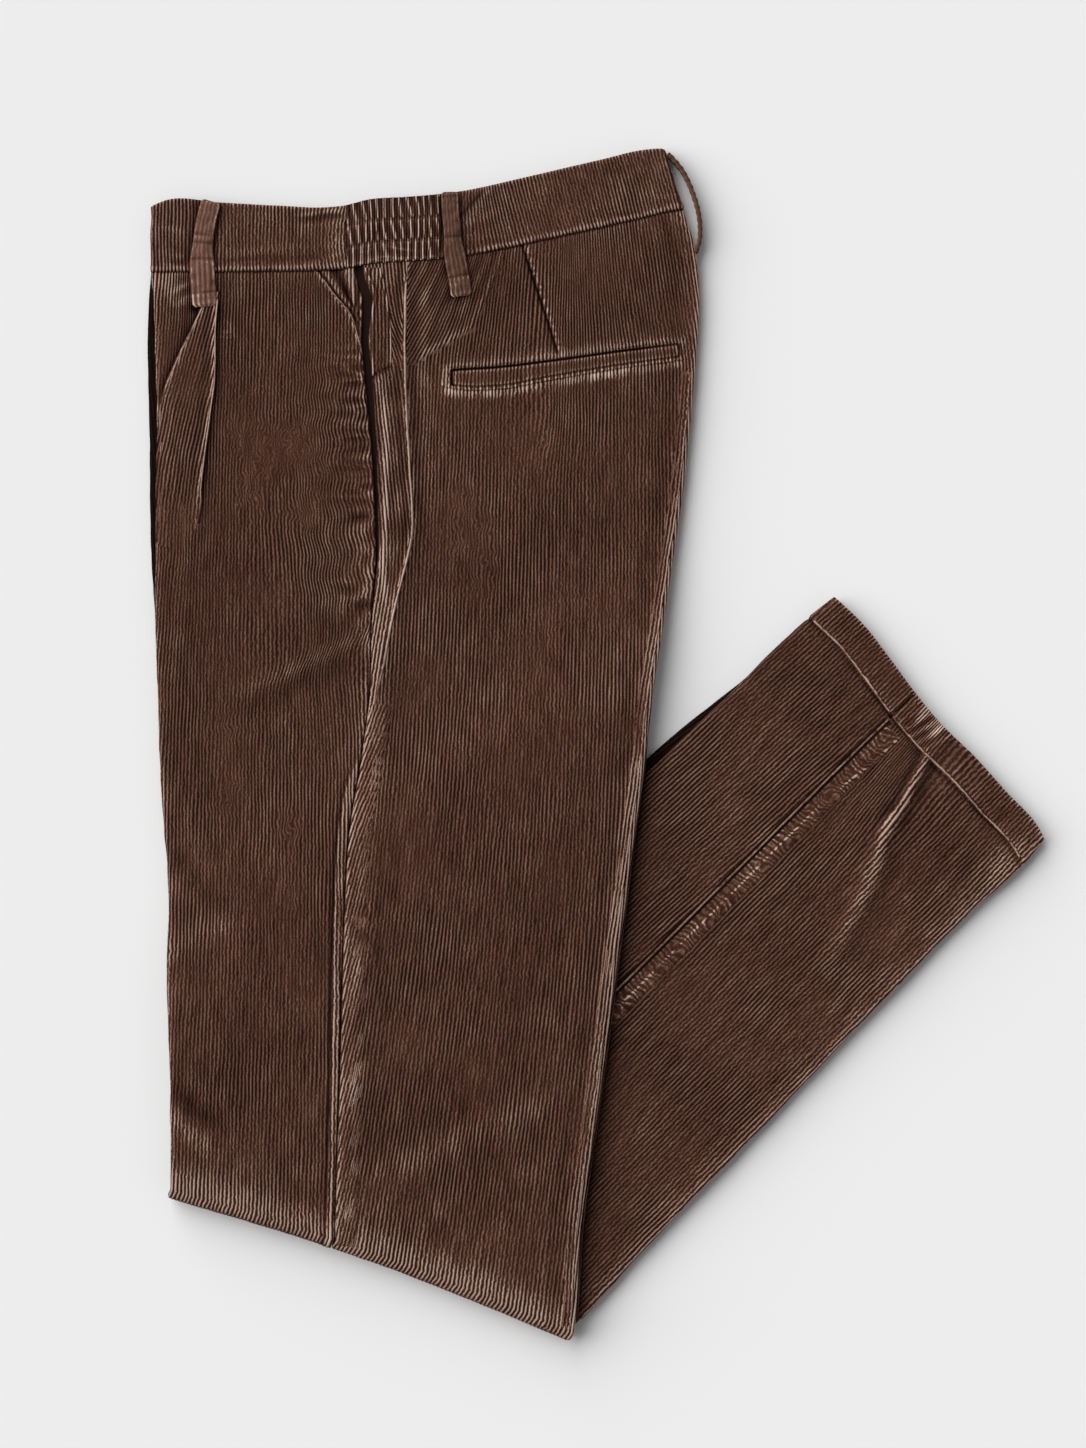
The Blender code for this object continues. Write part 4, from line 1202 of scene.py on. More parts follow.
def strip_wear_and_shade(x, y):
    """How worn that strip is, with painted shade: lighter above 0, and darker below, where shade is painted
    beside the ridge, in the side seam and under the facing's foot.
    """
    off = RIDGE(y) - x
    ridge = 0.5 * bell(off / 1.4) * smooth((y - 10) / 60)
    # Painted shade in the valley beside the ridge.
    valley_shade = -0.6 * bell((off - 4.6) / 1.6) * smooth((y - 80) / 30)
    second = (
        0.65 * bell((x + 121.5 + 1.2 * ripple(0 * x, y / 9, 90)) / 1.3) * smooth((y - 74) / 20)
        * smooth((207 - y) / 12)
    )
    seam = x - THIGH["back_seam"](y)
    raised = 0.30 * bell((seam - 7) / 7.5) * smooth((104 - y) / 20)
    # Painted shade in the side seam's gap and under the facing's foot.
    gap = -0.8 * bell(seam / 1.6) * smooth((y - 90) / 30)
    foot = facing_foot(x) - y
    gap = gap - 0.9 * bell((foot - 0.4) / 1.1) * smooth((-117 - x) / 2)
    return ridge + valley_shade + second + raised + gap + 0.32


def near_top(x):
    """Top edge of the near panels, half a gap below the waist seam."""
    return WAIST_SEAM(x) - GAP / 2


def crest(path, width, base, rise, brightness, seed, fade=1.0):
    """A worn crest as a fine strip along a line: rounded, brighter and darker by turns, and fading
    out over its last millimetres."""
    length = np.hypot(*np.diff(path, axis=0).T).sum()

    def relief(s, t):
        return rise * bell(t / 0.5) * (0.9 + 0.25 * ripple(s / 6, t, seed)) * smooth((length - s) / fade)

    def wear(s, t):
        spots = 0.85 + 0.25 * ripple(s / 5, t, seed + 1)
        return brightness * bell(t / 0.55) * spots * smooth((length - s) / fade)

    return overlay(path, width, lay_near_thigh, width, relief, wear, base)


def seam_strip(pitch):
    """The raised strip beside the lower side seam. Its wales lie at a slant and run into the panel's."""
    y = np.linspace(24, -292, 60)
    path = np.stack([THIGH["back_seam"](y) + 7.0, y], axis=1)

    def relief(s, t):
        return 0.35 * bell((t - 0.5) / 0.5) + 0.35 * crumpled(s / 2.4, 3 * t, 151) * bell(t / 0.8)

    def wear(s, t):
        seam = 0.62 * bell((t - 0.86) / 0.16) * (0.85 + 0.3 * ripple(s / 7, t, 152))
        return seam + (0.30 + 0.16 * ripple(s / 9, 2 * t, 153)) * smooth((t + 1) / 0.8)

    return overlay(path, 13.6, lay_near_thigh, pitch, relief, wear, back_relief,
                   slant=0.22, step=1.0, cells=26, rim=0.12)


def edge_strip(pitch):
    """Wales that lie along the back's folded edge, rubbed pale next to it."""
    y = np.linspace(216, -338, 80)
    path = np.stack([THIGH["near_back"](y) - 5.0, y], axis=1)

    def relief(s, t):
        return 0.15 * ripple(s / 8, 2 * t, 191) + 0 * s

    def wear(s, t):
        return 0.22 + 0.35 * bell((t + 0.6) / 0.5) + 0.12 * ripple(s / 12, t, 192)

    return overlay(path, 6.6, lay_near_thigh, pitch, relief, wear, back_relief,
                   step=1.2, cells=13, rim=0.25, over=0.45)


def fan_patch(pitch, height):
    """Cloth drawn in towards the elastic: its wales slant away from the side ridge, in soft gathers."""
    top = lambda x: WAIST_SEAM(x) - 1.0
    low = lambda x: 219.0 + 0.58 * (x + 104)
    left = lambda y: RIDGE(y) + 0.5
    right = lambda y: -60.0 + 0.40 * (y - 262)

    def lean(x, y):
        return 0.20 + 0.36 * (1 - smooth((x + 110) / 54))

    def gather(x, y):
        number = (x - 0.40 * (y - 250)) / 8.5 + 0.25 * ripple(x / 9, y / 14, 171)
        return (0.5 + 0.5 * np.cos(2 * np.pi * number)) ** 1.6 * smooth((y - 236) / 26)

    def relief(x, y):
        inside = smooth(np.minimum(right(y) - x, (y - low(x)) * 0.8) / 4.0)
        return back_ground(x, y) + 0.5 * gather(x, y) + 0.5 * inside - 0.3 * (1 - inside)

    def wear(x, y):
        inside = smooth(np.minimum(right(y) - x, (y - low(x)) * 0.8) / 4.0)
        kink = (
            0.50 * bell((y - low(x) - 4.0) / 3.2) * smooth((x + 104) / 8)
            * (1 - 0.8 * smooth((x + 84) / 14))
        )
        # Painted shade under the waistband's seam.
        under = -0.9 * bell((WAIST_SEAM(x) - y) / 1.0)
        ridge = 0.4 * bell((x - RIDGE(y)) / 1.6)
        return (0.14 * gather(x, y) + kink) * inside + under + ridge + loop_shadow(x, y)

    wales = wale_lines(lean, pitch, -90.0, 240.0, (196, 300), 173)
    numbers = numbers_for(wales, left, right, (212, 292))
    rows = plain_rows(np.linspace(0, 1, 84))
    return cloth(wales, numbers, rows, between(top, low), left, right, lay_near_thigh,
                 relief=relief, wear=wear, wale_height=0.7 * height)


def down_line(read, high, low, count=40):
    """Points of a line x = read(y) from y = high to low."""
    y = np.linspace(high, low, count)
    return np.stack([read(y), y], axis=1)


def near_front():
    """The near leg's front panel, with its pleat."""
    pitch = sizes().thigh_pitch / MM
    height = sizes().wale_height / MM
    wales = wale_lines(front_lean, pitch, -195.0, 0.0, (-400, 320), 11)
    left = lambda y: THIGH["near_front"](y) - 12
    right = THIGH["front_seam"]
    numbers = numbers_for(wales, left, right, (-330, 280))
    rows = np.concatenate([NEAR_TOP, plain_rows(THIGH_V), plain_rows(BEND_V)])
    base = cloth(
        wales, numbers, rows, down_thigh(near_top), left, right, lay_near_thigh,
        edge=THIGH["near_front"], side=-1, relief=front_relief, wear=front_wear_and_shade, wale_height=height,
        matted=front_crush,
    )
    patches = [base, pleat_patch(pitch, height)]
    over = lambda x, y: front_relief(x, y) + 2.0 * smooth((y - 112) / 40)
    pleat_line = down_line(lambda y: PLEAT_CREST(y) - 0.8, 258, 128)
    patches.append(crest(pleat_line, 1.8, over, 0.4, 1.05, 141, 34.0))
    outer_over = lambda x, y: front_relief(x, y) + 1.0
    outer_line = down_line(lambda y: PLEAT_OUTER(y) + 1.2, 259, 197)
    patches.append(crest(outer_line, 2.0, outer_over, 0.3, 0.75, 147, 12.0))
    patches.append(crest(down_line(POCKET_MOUTH, 270, 225), 2.0, front_relief, 0.3, 0.55, 143))
    return cut_piece(
        "near_front_cloth", patches, brown(), (150.0, 640.0),
        ["near_front_thigh"], True,
    )


def pleat_patch(pitch, height):
    """The waist pleat: cloth that lies over the front between two lines, its wales at a slant."""
    top = lambda x: 262.0 + 0 * x
    low = lambda x: 112.0 - 0.5 * (x + 245.0)

    def lean(x, y):
        return 0.24 * smooth((y - 90) / 130) + 0.02

    wales = wale_lines(lean, pitch, -236.0, 180.0, (90, 270), 13)
    left = PLEAT_OUTER
    right = PLEAT_CREST
    numbers = numbers_for(wales, left, right, (100, 262))

    def relief(x, y):
        width = np.maximum(right(y) - left(y), 0.5)
        share = (x - left(y)) / width
        over = 1.25 * smooth((y - 118) / 60)
        in_left = smooth((x - left(y)) / 2.0)
        soft_left = smooth((x - left(y)) / 9.0)
        rise = in_left + (soft_left - in_left) * smooth((206 - y) / 20)
        crest = 0.5 * bell((right(y) - x - 0.8) / 1.4) * smooth((y - 118) / 12)
        drop = smooth((right(y) - x) / 1.1)
        soft = 0.25 * ripple(x / 3.5, y / 11, 15)
        return (
            (over * rise * (0.6 + 0.4 * share) + crest + soft + 0.35) * drop - 0.5 * (1 - drop)
            - 0.45 * (1 - in_left)
        )

    def wear(x, y):
        crest = (
            0.3 * bell((right(y) - x - 1.6) / 1.6) * smooth((y - 118) / 14)
            * (0.75 + 0.35 * ripple(x, y / 6, 16))
        )
        # Painted shade in the hollow beside the pleat's crest.
        valley_shade = -0.35 * bell((right(y) - x - 6.0) / 3.0) * smooth((y - 140) / 30)
        fold = bell((x - left(y) - 1.5) / 1.4) * smooth((y - 196) / 8) * 0.2
        return crest + valley_shade + fold

    rows = plain_rows(np.linspace(0, 1, 64))
    return cloth(wales, numbers, rows, between(top, low), left, right, lay_near_thigh,
                 relief=relief, wear=wear, wale_height=height)


def near_back():
    """The near leg's back panel, with the strip beside the side seam."""
    pitch = sizes().thigh_pitch / MM
    height = sizes().wale_height / MM
    wales = wale_lines(back_lean, pitch, -45.0, 150.0, (-400, 330), 17)
    left = lambda y: np.maximum(RIDGE(y), THIGH["back_seam"](y))
    right = lambda y: THIGH["near_back"](y) + 12
    numbers = numbers_for(wales, left, right, (-340, 310))
    rows = np.concatenate([NEAR_TOP, plain_rows(THIGH_V), plain_rows(BEND_V)])
    base = cloth(
        wales, numbers, rows, down_thigh(near_top), left, right, lay_near_thigh,
        edge=THIGH["near_back"], side=1, relief=back_relief, wear=back_wear_and_shade, wale_height=height,
        matted=back_crush,
    )
    strip_wales = wale_lines(strip_lean, pitch, -120.0, 112.0, (-60, 300), 19)
    strip_right = lambda y: np.maximum(RIDGE(y), THIGH["back_seam"](y))
    strip_numbers = numbers_for(strip_wales, THIGH["back_seam"], strip_right, (-40, 280))
    strip_rows = np.concatenate([NEAR_TOP, plain_rows(THIGH_V[THIGH_V < 0.60])])
    strip = cloth(
        strip_wales, strip_numbers, strip_rows, down_thigh(near_top), THIGH["back_seam"], strip_right,
        lay_near_thigh, relief=strip_relief, wear=strip_wear_and_shade, wale_height=height,
    )
    patches = [base, strip, seam_strip(pitch), edge_strip(pitch), fan_patch(pitch, height)]
    over = lambda x, y: back_relief(x, y) + 0.6 * smooth((y - 205) / 20)
    patches.append(crest(down_line(RIDGE, 268, 20), 3.0, over, 0.6, 1.25, 145, 40.0))
    return cut_piece(
        "near_back_cloth", patches, brown(), (215.0, 680.0),
        ["near_back_thigh"], True, own=2,
    )


def far_thighs():
    """The far leg's panels, which the trousers lie on: crests on the floor, with wider rows."""
    pitch = sizes().thigh_pitch / MM
    height = 0.4
    rows = plain_rows(np.linspace(0, 0.985, 90))
    top = lambda x: WAIST_SEAM(x) - GAP
    sides = (
        ("far_front", front_lean, -195.0, lambda y: THIGH["far_front"](y) - 12,
         lambda y: THIGH["back_seam"](y) - GAP, -1, (150.0, 590.0)),
        (
            "far_back", back_lean, -45.0, THIGH["back_seam"], lambda y: THIGH["far_back"](y) + 12, 1,
            (215.0, 640.0),
        ),
    )

    # Painted shadow: the strip of the far front that shows beside the near front's edge is painted
    # near-black.
    def wear(x, y):
        return -1.1 * smooth(THIGH["near_front"](y) + 1 - x) * smooth((y - 40) / 60)

    for name, lean, start, left, right, side, flat in sides:
        wales = wale_lines(lean, pitch, start, 150.0, (-400, 330), 23)
        numbers = numbers_for(wales, left, right, (-330, 310), 2)
        arrays = cloth(
            wales, numbers, rows, down_thigh(top), left, right, lay_far_thigh,
            edge=THIGH[name], side=side, wear=wear, wale_height=height, crest_at=1.1,
        )
        cut_piece(f"{name}_cloth", [arrays], brown(), flat, [f"{name}_thigh"], False)


# ---------------------------------------------------------------- overlays


def overlay(
    path, width, lay, pitch, relief, wear, base,
    slant=0.0, step=0.6, cells=10, wale_height=0.5, rim=0.3, cords=None, over=0.22, crush=0.0,
):
    """A fine strip laid on a panel along a path of (a, b) points. Its wales run along the path, or
    drift to the left of it by slant for each step, or are counted by cords(s, t). It has the
    panel's base relief with its own relief(s, t) and its own worn and painted-shade values on top, s
    millimetres along the path and t from -1 at its right to 1 at its left. Its rim, a share of its half
    width, dips just under the panel."""
    at = np.concatenate([[0], np.cumsum(np.hypot(*np.diff(path, axis=0).T))])
    count = int(at[-1] / step)
    s = np.linspace(0, at[-1], count)
    a = cubic(at, path[:, 0])(s)
    b = cubic(at, path[:, 1])(s)
    tangent = np.stack([np.gradient(a), np.gradient(b)])
    tangent = tangent / np.hypot(*tangent)
    t = np.linspace(-1, 1, cells + 1)[None, :]
    across = t * width / 2
    grid_a = a[:, None] + tangent[1][:, None] * across
    grid_b = b[:, None] - tangent[0][:, None] * across
    drift = (across - slant * s[:, None]) / np.hypot(1, slant)
    number = cords(s[:, None], t) if cords else 0.5 + drift / pitch
    number = number + 0.08 * ripple(across / 1.5, s[:, None] / 4, 161)
    ends = smooth(np.minimum(s, at[-1] - s) / 2.0)[:, None]
    inside = smooth((1 - np.abs(t)) / rim) * ends
    height = base(grid_a, grid_b) + wale_height * (wale_shape(number) - 0.6)
    height = height + relief(s[:, None], t) * inside + over * inside - 0.25 * (1 - inside)
    points = lay(grid_a, grid_b, -height)
    return {
        "points": points.reshape(-1, 3),
        "triangles": grid_triangles(count, cells + 1),
        "number": number.reshape(-1),
        "along": grid_b.reshape(-1),
        "wear": (wear(s[:, None], t) * inside).reshape(-1),
        "crush": crush + 0 * number.reshape(-1),
    }


def grid_triangles(rows, cols, close_cols=False):
    """Triangles of a grid of points, closed round its columns if asked."""
    index = np.arange(rows * cols).reshape(rows, cols)
    if close_cols:
        index = np.concatenate([index, index[:, :1]], axis=1)
    corners = (index[:-1, :-1], index[1:, :-1], index[1:, 1:], index[:-1, 1:])
    p, q, r, s = (corner.reshape(-1) for corner in corners)
    return np.concatenate([np.stack([p, q, r], axis=1), np.stack([p, r, s], axis=1)])


# ---------------------------------------------------------------- calves

HEM_STEP = 0.55
HEM_TURN = turned_rows(0.75, 17.0)
CALF_V = np.linspace(0, 1, 225)[1:]


def calf_front_lean(across, along):
    """How far the wales lean on the calves' front."""
    return -0.045 - 0.02 * smooth((-along) / 200)


def calf_back_lean(across, along):
    """How far they lean on the calves' back, with one swirl."""
    swirl = 0.16 * bell((across + 146) / 16) * bell((along - 96) / 40)
    return 0.004 + swirl


def hem_line(across):
    """Where the hem's stitching runs, along the calves."""
    return HEM_END(across) - HEM_WIDTH


def calf_fold(across, along):
    """The fold that runs down from the hem: sharp at its top, and wider and lower further down."""
    off = across - CALF_CREST(along)
    down = smooth((132 - along) / 120)
    wide = 2.2 + 7.0 * down
    fade = smooth((134 - along) / 6) * smooth((along + 40) / 90)
    return (1.8 - 0.6 * down) * bell(off / wide) ** 0.7 * fade


def calf_relief(across, along):
    """Folds, seam and hem of the upper calf, in millimetres."""
    hem = smooth((along - hem_line(across)) / 1.2)
    seam = np.abs(across - CALF["seam"](along))
    stitch = -0.45 * bell((along - hem_line(across) + 0.6) / 1.0)
    hem_creases = 0.6 * np.cos(across * 1.1 + 0.25 * along + ripple(across / 6, along / 9, 98)) * hem
    hem_creases = hem_creases * bell((across + 129) / 12)
    soft = 0.18 * ripple(across / 6, along / 10, 9) + 0.10 * ripple(across / 2.5, along / 3.6, 10)
    return (
        folds(CALF_FOLDS, across, along) + calf_fold(across, along) + HEM_STEP * hem
        + side_drop(seam, 1.0) + stitch + hem_creases + soft
    )


def calf_wear_and_shade(across, along):
    """How worn the upper calf's wales are, with painted shade: lighter above 0, and darker below, where shade
    and shadow are painted.
    """
    x, y = calf_to_plan(along, across)
    beside = x - THIGH["near_back"](np.maximum(y, -345))
    shadow = -0.95 * np.exp(-np.maximum(beside, 0) / 5.5) * smooth((40 - y) / 60)
    end = 0.55 * bell((along - HEM_END(across)) / 1.4)
    low_edge = across - CALF["far_back"](along)
    edge = 0.40 * bell((low_edge - 0.6) / 1.4) + 0.50 * np.exp(-np.maximum(low_edge, 0) / 9)
    down = smooth((120 - along) / 90)
    crest = (0.60 - 0.36 * down) * bell((across - CALF_CREST(along)) / (1.0 + 6.0 * down))
    crest = crest * smooth((along - 0) / 50) * smooth((134 - along) / 5)
    above = (
        # Painted shade on the fold's flank.
        -0.5 * bell((across - CALF_CREST(along) - 5) / 3.5) * smooth((along - 60) / 40)
        * smooth((134 - along) / 5)
    )
    rub = 2.2 * bell((across + 127) / 10) * smooth((along - hem_line(across) - 6) / 9)
    rub = rub * np.clip(0.55 + 0.75 * ripple(across / 1.1, along / 14, 98), 0, 1.4)
    seam = across - CALF["seam"](along)
    # Painted shade in the outer seam.
    seam_shade = -0.95 * bell(seam / 0.9) * smooth((along - 120) / 8)
    hem = hem_line(across)
    # Painted shadow above the hem's stitching.
    hem_shadow = -0.7 * bell((along - hem + 1.2) / 1.0)
    hem_rim = 0.5 * bell((along - hem - 0.6) / 0.7)
    corner = 0.35 * bell((across + 214) / 9) * bell((along - 116) / 14)
    return shadow + end + edge + crest + above + rub + seam_shade + hem_shadow + hem_rim + corner


def seam_allowance(pitch):
    """The puckered allowance beside the calf's outer seam: short bulges across it, with painted shade between
    them, and a thread.
    """
    width = 13.6
    along = np.linspace(128.0, -262.0, 60)
    path = np.stack([CALF["seam"](along) - 7.4, along], axis=1)

    def count(s, t):
        return (s + 1.0 * t) / 3.3 + 0.50 * ripple(s / 9, t, 101) + 0.22 * ripple(s / 3, 3 * t, 106)

    def patchy(s, t):
        return np.clip(0.35 + 0.75 * ripple(s / 6, t * 3, 103), 0.0, 1) * (1 - 0.3 * smooth((s - 200) / 180))

    def relief(s, t):
        return 0.30 * wale_shape(count(s, t)) * bell(t / 0.8) * patchy(s, t)

    def wear(s, t):
        across = 2 * np.pi * t * width / 2 / pitch
        stroke = wale_shape(count(s, t)) ** 3
        # Below 0 between the bulges: painted shade.
        strokes = (0.55 * stroke - 0.10 * (1 - stroke)) * patchy(s, t) * smooth((0.95 - np.abs(t)) / 0.3)
        thread = (
            1.3
            * bell((t - 0.05 - 0.70 * (1 - smooth(s / 75)) + 0.06 * ripple(s / 7, 0 * t, 104)) / 0.08)
        )
        thread = thread * smooth(0.55 + 1.4 * ripple(s / 6, 0 * t, 107))
        return strokes + thread + 0.20 * np.cos(across + 0.5 * ripple(s / 6, t, 108)) + 0.06

    return overlay(path, width, lay_far_calf, pitch, relief, wear, calf_relief,
                   step=0.5, cells=30, wale_height=0.0, rim=0.2, cords=count, crush=0.55)


def calf_seam_line():
    """The calf's outer seam: a thin rubbed welt between two lines of painted shade, level with the panels."""
    along = np.linspace(131.0, -262.0, 60)
    path = np.stack([CALF["seam"](along) - 0.3, along], axis=1)

    def base(across, along):
        return calf_relief(across, along) - side_drop(np.abs(across - CALF["seam"](along)), 1.0) + 0.1

    def relief(s, t):
        return 0.25 * bell(t / 0.3) - 0.25 * bell((np.abs(t) - 0.52) / 0.26)

    def wear(s, t):
        spots = 0.8 + 0.45 * ripple(s / 6, t, 104)
        # Lighter along the welt, painted shade in the two lines beside it.
        return 0.45 * bell(t / 0.26) * spots - 1.5 * bell((np.abs(t) - 0.54) / 0.24)

    return overlay(path, 4.4, lay_far_calf, 4.4, relief, wear, base, cells=14, rim=0.10, over=0.6)


def hem_seam(low, high):
    """The hem's sewn line: a thin raised rim with painted shadow in a line above it."""
    across = np.linspace(low, high, 30)
    path = np.stack([across, hem_line(across) + 0.2], axis=1)

    def relief(s, t):
        return 0.45 * bell((t + 0.1) / 0.28) - 0.5 * bell((t - 0.45) / 0.25)

    def wear(s, t):
        spots = 0.85 + 0.2 * ripple(s / 3, t, 105)
        teeth = 0.8 + 0.35 * np.cos(2 * np.pi * s / sizes().calf_pitch * MM)
        # Lighter on the rim, painted shadow in the line above it.
        return 0.80 * bell((t + 0.1) / 0.26) * spots - 0.95 * bell((t - 0.5) / 0.3) * teeth

    return overlay(path, 5.0, lay_far_calf, 3.2, relief, wear, calf_relief, cells=12)


def far_calf():
    """The far leg's calf, which lies on top."""
    pitch = sizes().calf_pitch / MM
    height = sizes().wale_height / MM
    place = between(HEM_END, lambda a: calf_knee(a) + FAR_CALF_START)
    rows = np.concatenate([HEM_TURN, plain_rows(CALF_V)])
    sides = (
        (
            "far_front", calf_front_lean, lambda w: CALF["seam"](w) + GAP,
            lambda w: CALF["far_front"](w) + 12, 1, (140.0, 470.0),
        ),
        ("far_back", calf_back_lean, lambda w: CALF["far_back"](w) - 12, CALF["seam"], -1, (132.0, 470.0)),
    )
    for name, lean, left, right, side, flat in sides:
        wales = wale_lines(lean, pitch, -109.0, 0.0, (-420, 200), 29)
        numbers = numbers_for(wales, left, right, (-330, 160))
        arrays = cloth(
            wales, numbers, rows, place, left, right, lay_far_calf,
            edge=CALF[name], side=side, relief=calf_relief, wear=calf_wear_and_shade, wale_height=height,
        )
        patches = [arrays]
        if name == "far_back":
            patches += [seam_allowance(pitch), calf_seam_line(), hem_seam(-221.0, -110.0)]
        else:
            patches += [hem_seam(-108.0, -38.0)]
        cut_piece(
            f"{name}_calf_cloth", patches, brown(), flat, [f"{name}_calf"],
            True,
        )


def near_calf():
    """The near leg's calf, which lies beneath the far one."""
    pitch = sizes().calf_pitch / MM
    place = between(lambda a: HEM_END(a) - NEAR_HEM_SHORT, lambda a: calf_knee(a) + KNEE_GAP)
    rows = np.concatenate([HEM_TURN, plain_rows(np.linspace(0, 1, 90)[1:])])

    # Painted shadow on the lower calf's strip that shows beside the upper one.
    def wear(across, along):
        return -0.95 * smooth((across - CALF["near_front"](along) + 1) / 2)

    sides = (
        (
            "near_front", calf_front_lean, lambda w: CALF["seam"](w) + GAP,
            lambda w: CALF["near_front"](w) + 12, 1, (140.0, 480.0),
        ),
        ("near_back", calf_back_lean, lambda w: CALF["near_back"](w) - 12, CALF["seam"], -1, (132.0, 480.0)),
    )
    for name, lean, left, right, side, flat in sides:
        wales = wale_lines(lean, pitch, -109.0, 0.0, (-420, 200), 31)
        numbers = numbers_for(wales, left, right, (-330, 160), 2)
        arrays = cloth(
            wales, numbers, rows, place, left, right, lay_near_calf,
            edge=CALF[name], side=side, wear=wear, wale_height=0.4, crest_at=1.1,
        )
        cut_piece(
            f"{name}_calf_cloth", [arrays], brown(), flat, [f"{name}_calf"],
            False,
        )


# ---------------------------------------------------------------- waistband

BAND_TURN = turned_rows(BAND_WALL / 2, 9.0)
BAND_V = np.linspace(0, 1, 40)[1:-1]
BAND_END = tucked_rows(1.1, -1, 1.0)
BAND_FOLDS = (
    (-170.0, 306.6, -148.0, 309.0, 1.0, 1.3, 0.4),
    (-160.0, 310.6, -147.0, 307.6, 0.9, 1.2, 0.4),
    (-170.0, 303.0, -147.0, 306.0, -0.6, 1.6, 0.4),
    (-212.0, 285.0, -150.0, 288.0, 0.55, 3.2, 0.3),
    (-214.0, 280.5, -150.0, 281.5, -0.35, 2.0, 0.3),
    (-168.0, 276.0, -147.0, 284.0, 0.7, 2.2, 0.4),
    (-253.0, 300.0, -236.0, 296.0, 0.5, 2.6, 0.4),
    (-252.0, 286.0, -238.0, 282.0, 0.5, 2.4, 0.4),
    (-78.0, 306.0, -60.0, 322.0, 0.8, 2.2, 0.4),
    (-76.0, 300.0, -56.0, 309.0, 0.5, 2.6, 0.4),
    (-20.0, 306.0, 40.0, 320.0, 0.3, 4.0, 0.4),
    (10.0, 327.0, 44.0, 336.0, 0.3, 3.0, 0.4),
)


def level_lean(a, b):
    """Wales that run straight."""
    return 0.0 * a


def band_lean(x, y):
    """Wales that lean over on the back part of the band."""
    return -0.26 * smooth((x + 80) / 30)


def front_band_lean(x, y):
    """The wales bend towards the elastic where the band is drawn in."""
    return 0.25 * smooth((x + 185) / 40) * (y - 293) / 18


def build_band(leg, lay, gathered, proud):
    """The plain parts of one leg's waistband, and then its elastic part."""
    pitch = sizes().thigh_pitch / MM
    height = sizes().wale_height / MM if gathered else 0.4
    crest_at = 0.5 if gathered else 1.1
    band = between(WAIST_TOP, lambda x: WAIST_SEAM(x) + GAP / 2)
    rows = np.concatenate([BAND_TURN, plain_rows(BAND_V), BAND_END * np.array([1, -1, 1])])
    parts = (
        (
            "front", lambda y: THIGH[f"{leg}_front"](y) - 12, lambda y: FRONT_BAND_END - GAP + 0 * y,
            -1, front_band_lean, (127.0, 52.0),
        ),
        (
            "back", lambda y: BACK_BAND_START + GAP + 0 * y, lambda y: THIGH[f"{leg}_back"](y) + 12, 1,
            band_lean, (165.0, 52.0),
        ),
    )
    for part, left, right, side, lean, flat in parts:
        wales = wale_lines(lean, pitch, -100.0, 300.0, (240, 370), 37)
        numbers = numbers_for(wales, left, right, (265, 350))

        def relief(x, y):
            low = y - WAIST_SEAM(x)
            soft = 0.22 * ripple(x / 5, y / 3, 12) + 0.3 * crumpled(x / 1.5, y, 39) * bell((low - 4) / 5)
            return proud + gathered * (0.45 * bell((low - 2.0) / 1.5) + soft + folds(BAND_FOLDS, x, y))

        def wear(x, y):
            low = y - WAIST_SEAM(x)
            top = WAIST_TOP(x) - y
            rim = 0.60 * bell((low - 1.5) / 1.0) * (0.8 + 0.35 * ripple(x / 2, y / 3, 41))
            end = 0.35 * bell((x + 147) / 7)
            # A crease in the band: painted shade along it and a lighter line beside it.
            crease = folds(
                ((-79.0, 305.6, -66.0, 319.5, -1.0, 1.1, 0.3), (-76.0, 303.0, -64.0, 315.0, 0.5, 2.4, 0.3)),
                x, y
            )
            return rim + 0.35 * bell(top / 1.5) + 0.16 + end + gathered * (loop_shadow(x, y) + crease)

        arrays = cloth(
            wales, numbers, rows, band, left, right, lay, edge=THIGH[f"{leg}_{part}"], side=side,
            relief=relief, wear=wear, wale_height=height, crest_at=crest_at,
        )
        cut_piece(
            f"{leg}_{part}_band_cloth", [arrays], brown(), flat,
            [f"{leg}_{part}_waistband"], gathered,
        )
    build_elastic(leg, lay, gathered, proud, height, crest_at, band)


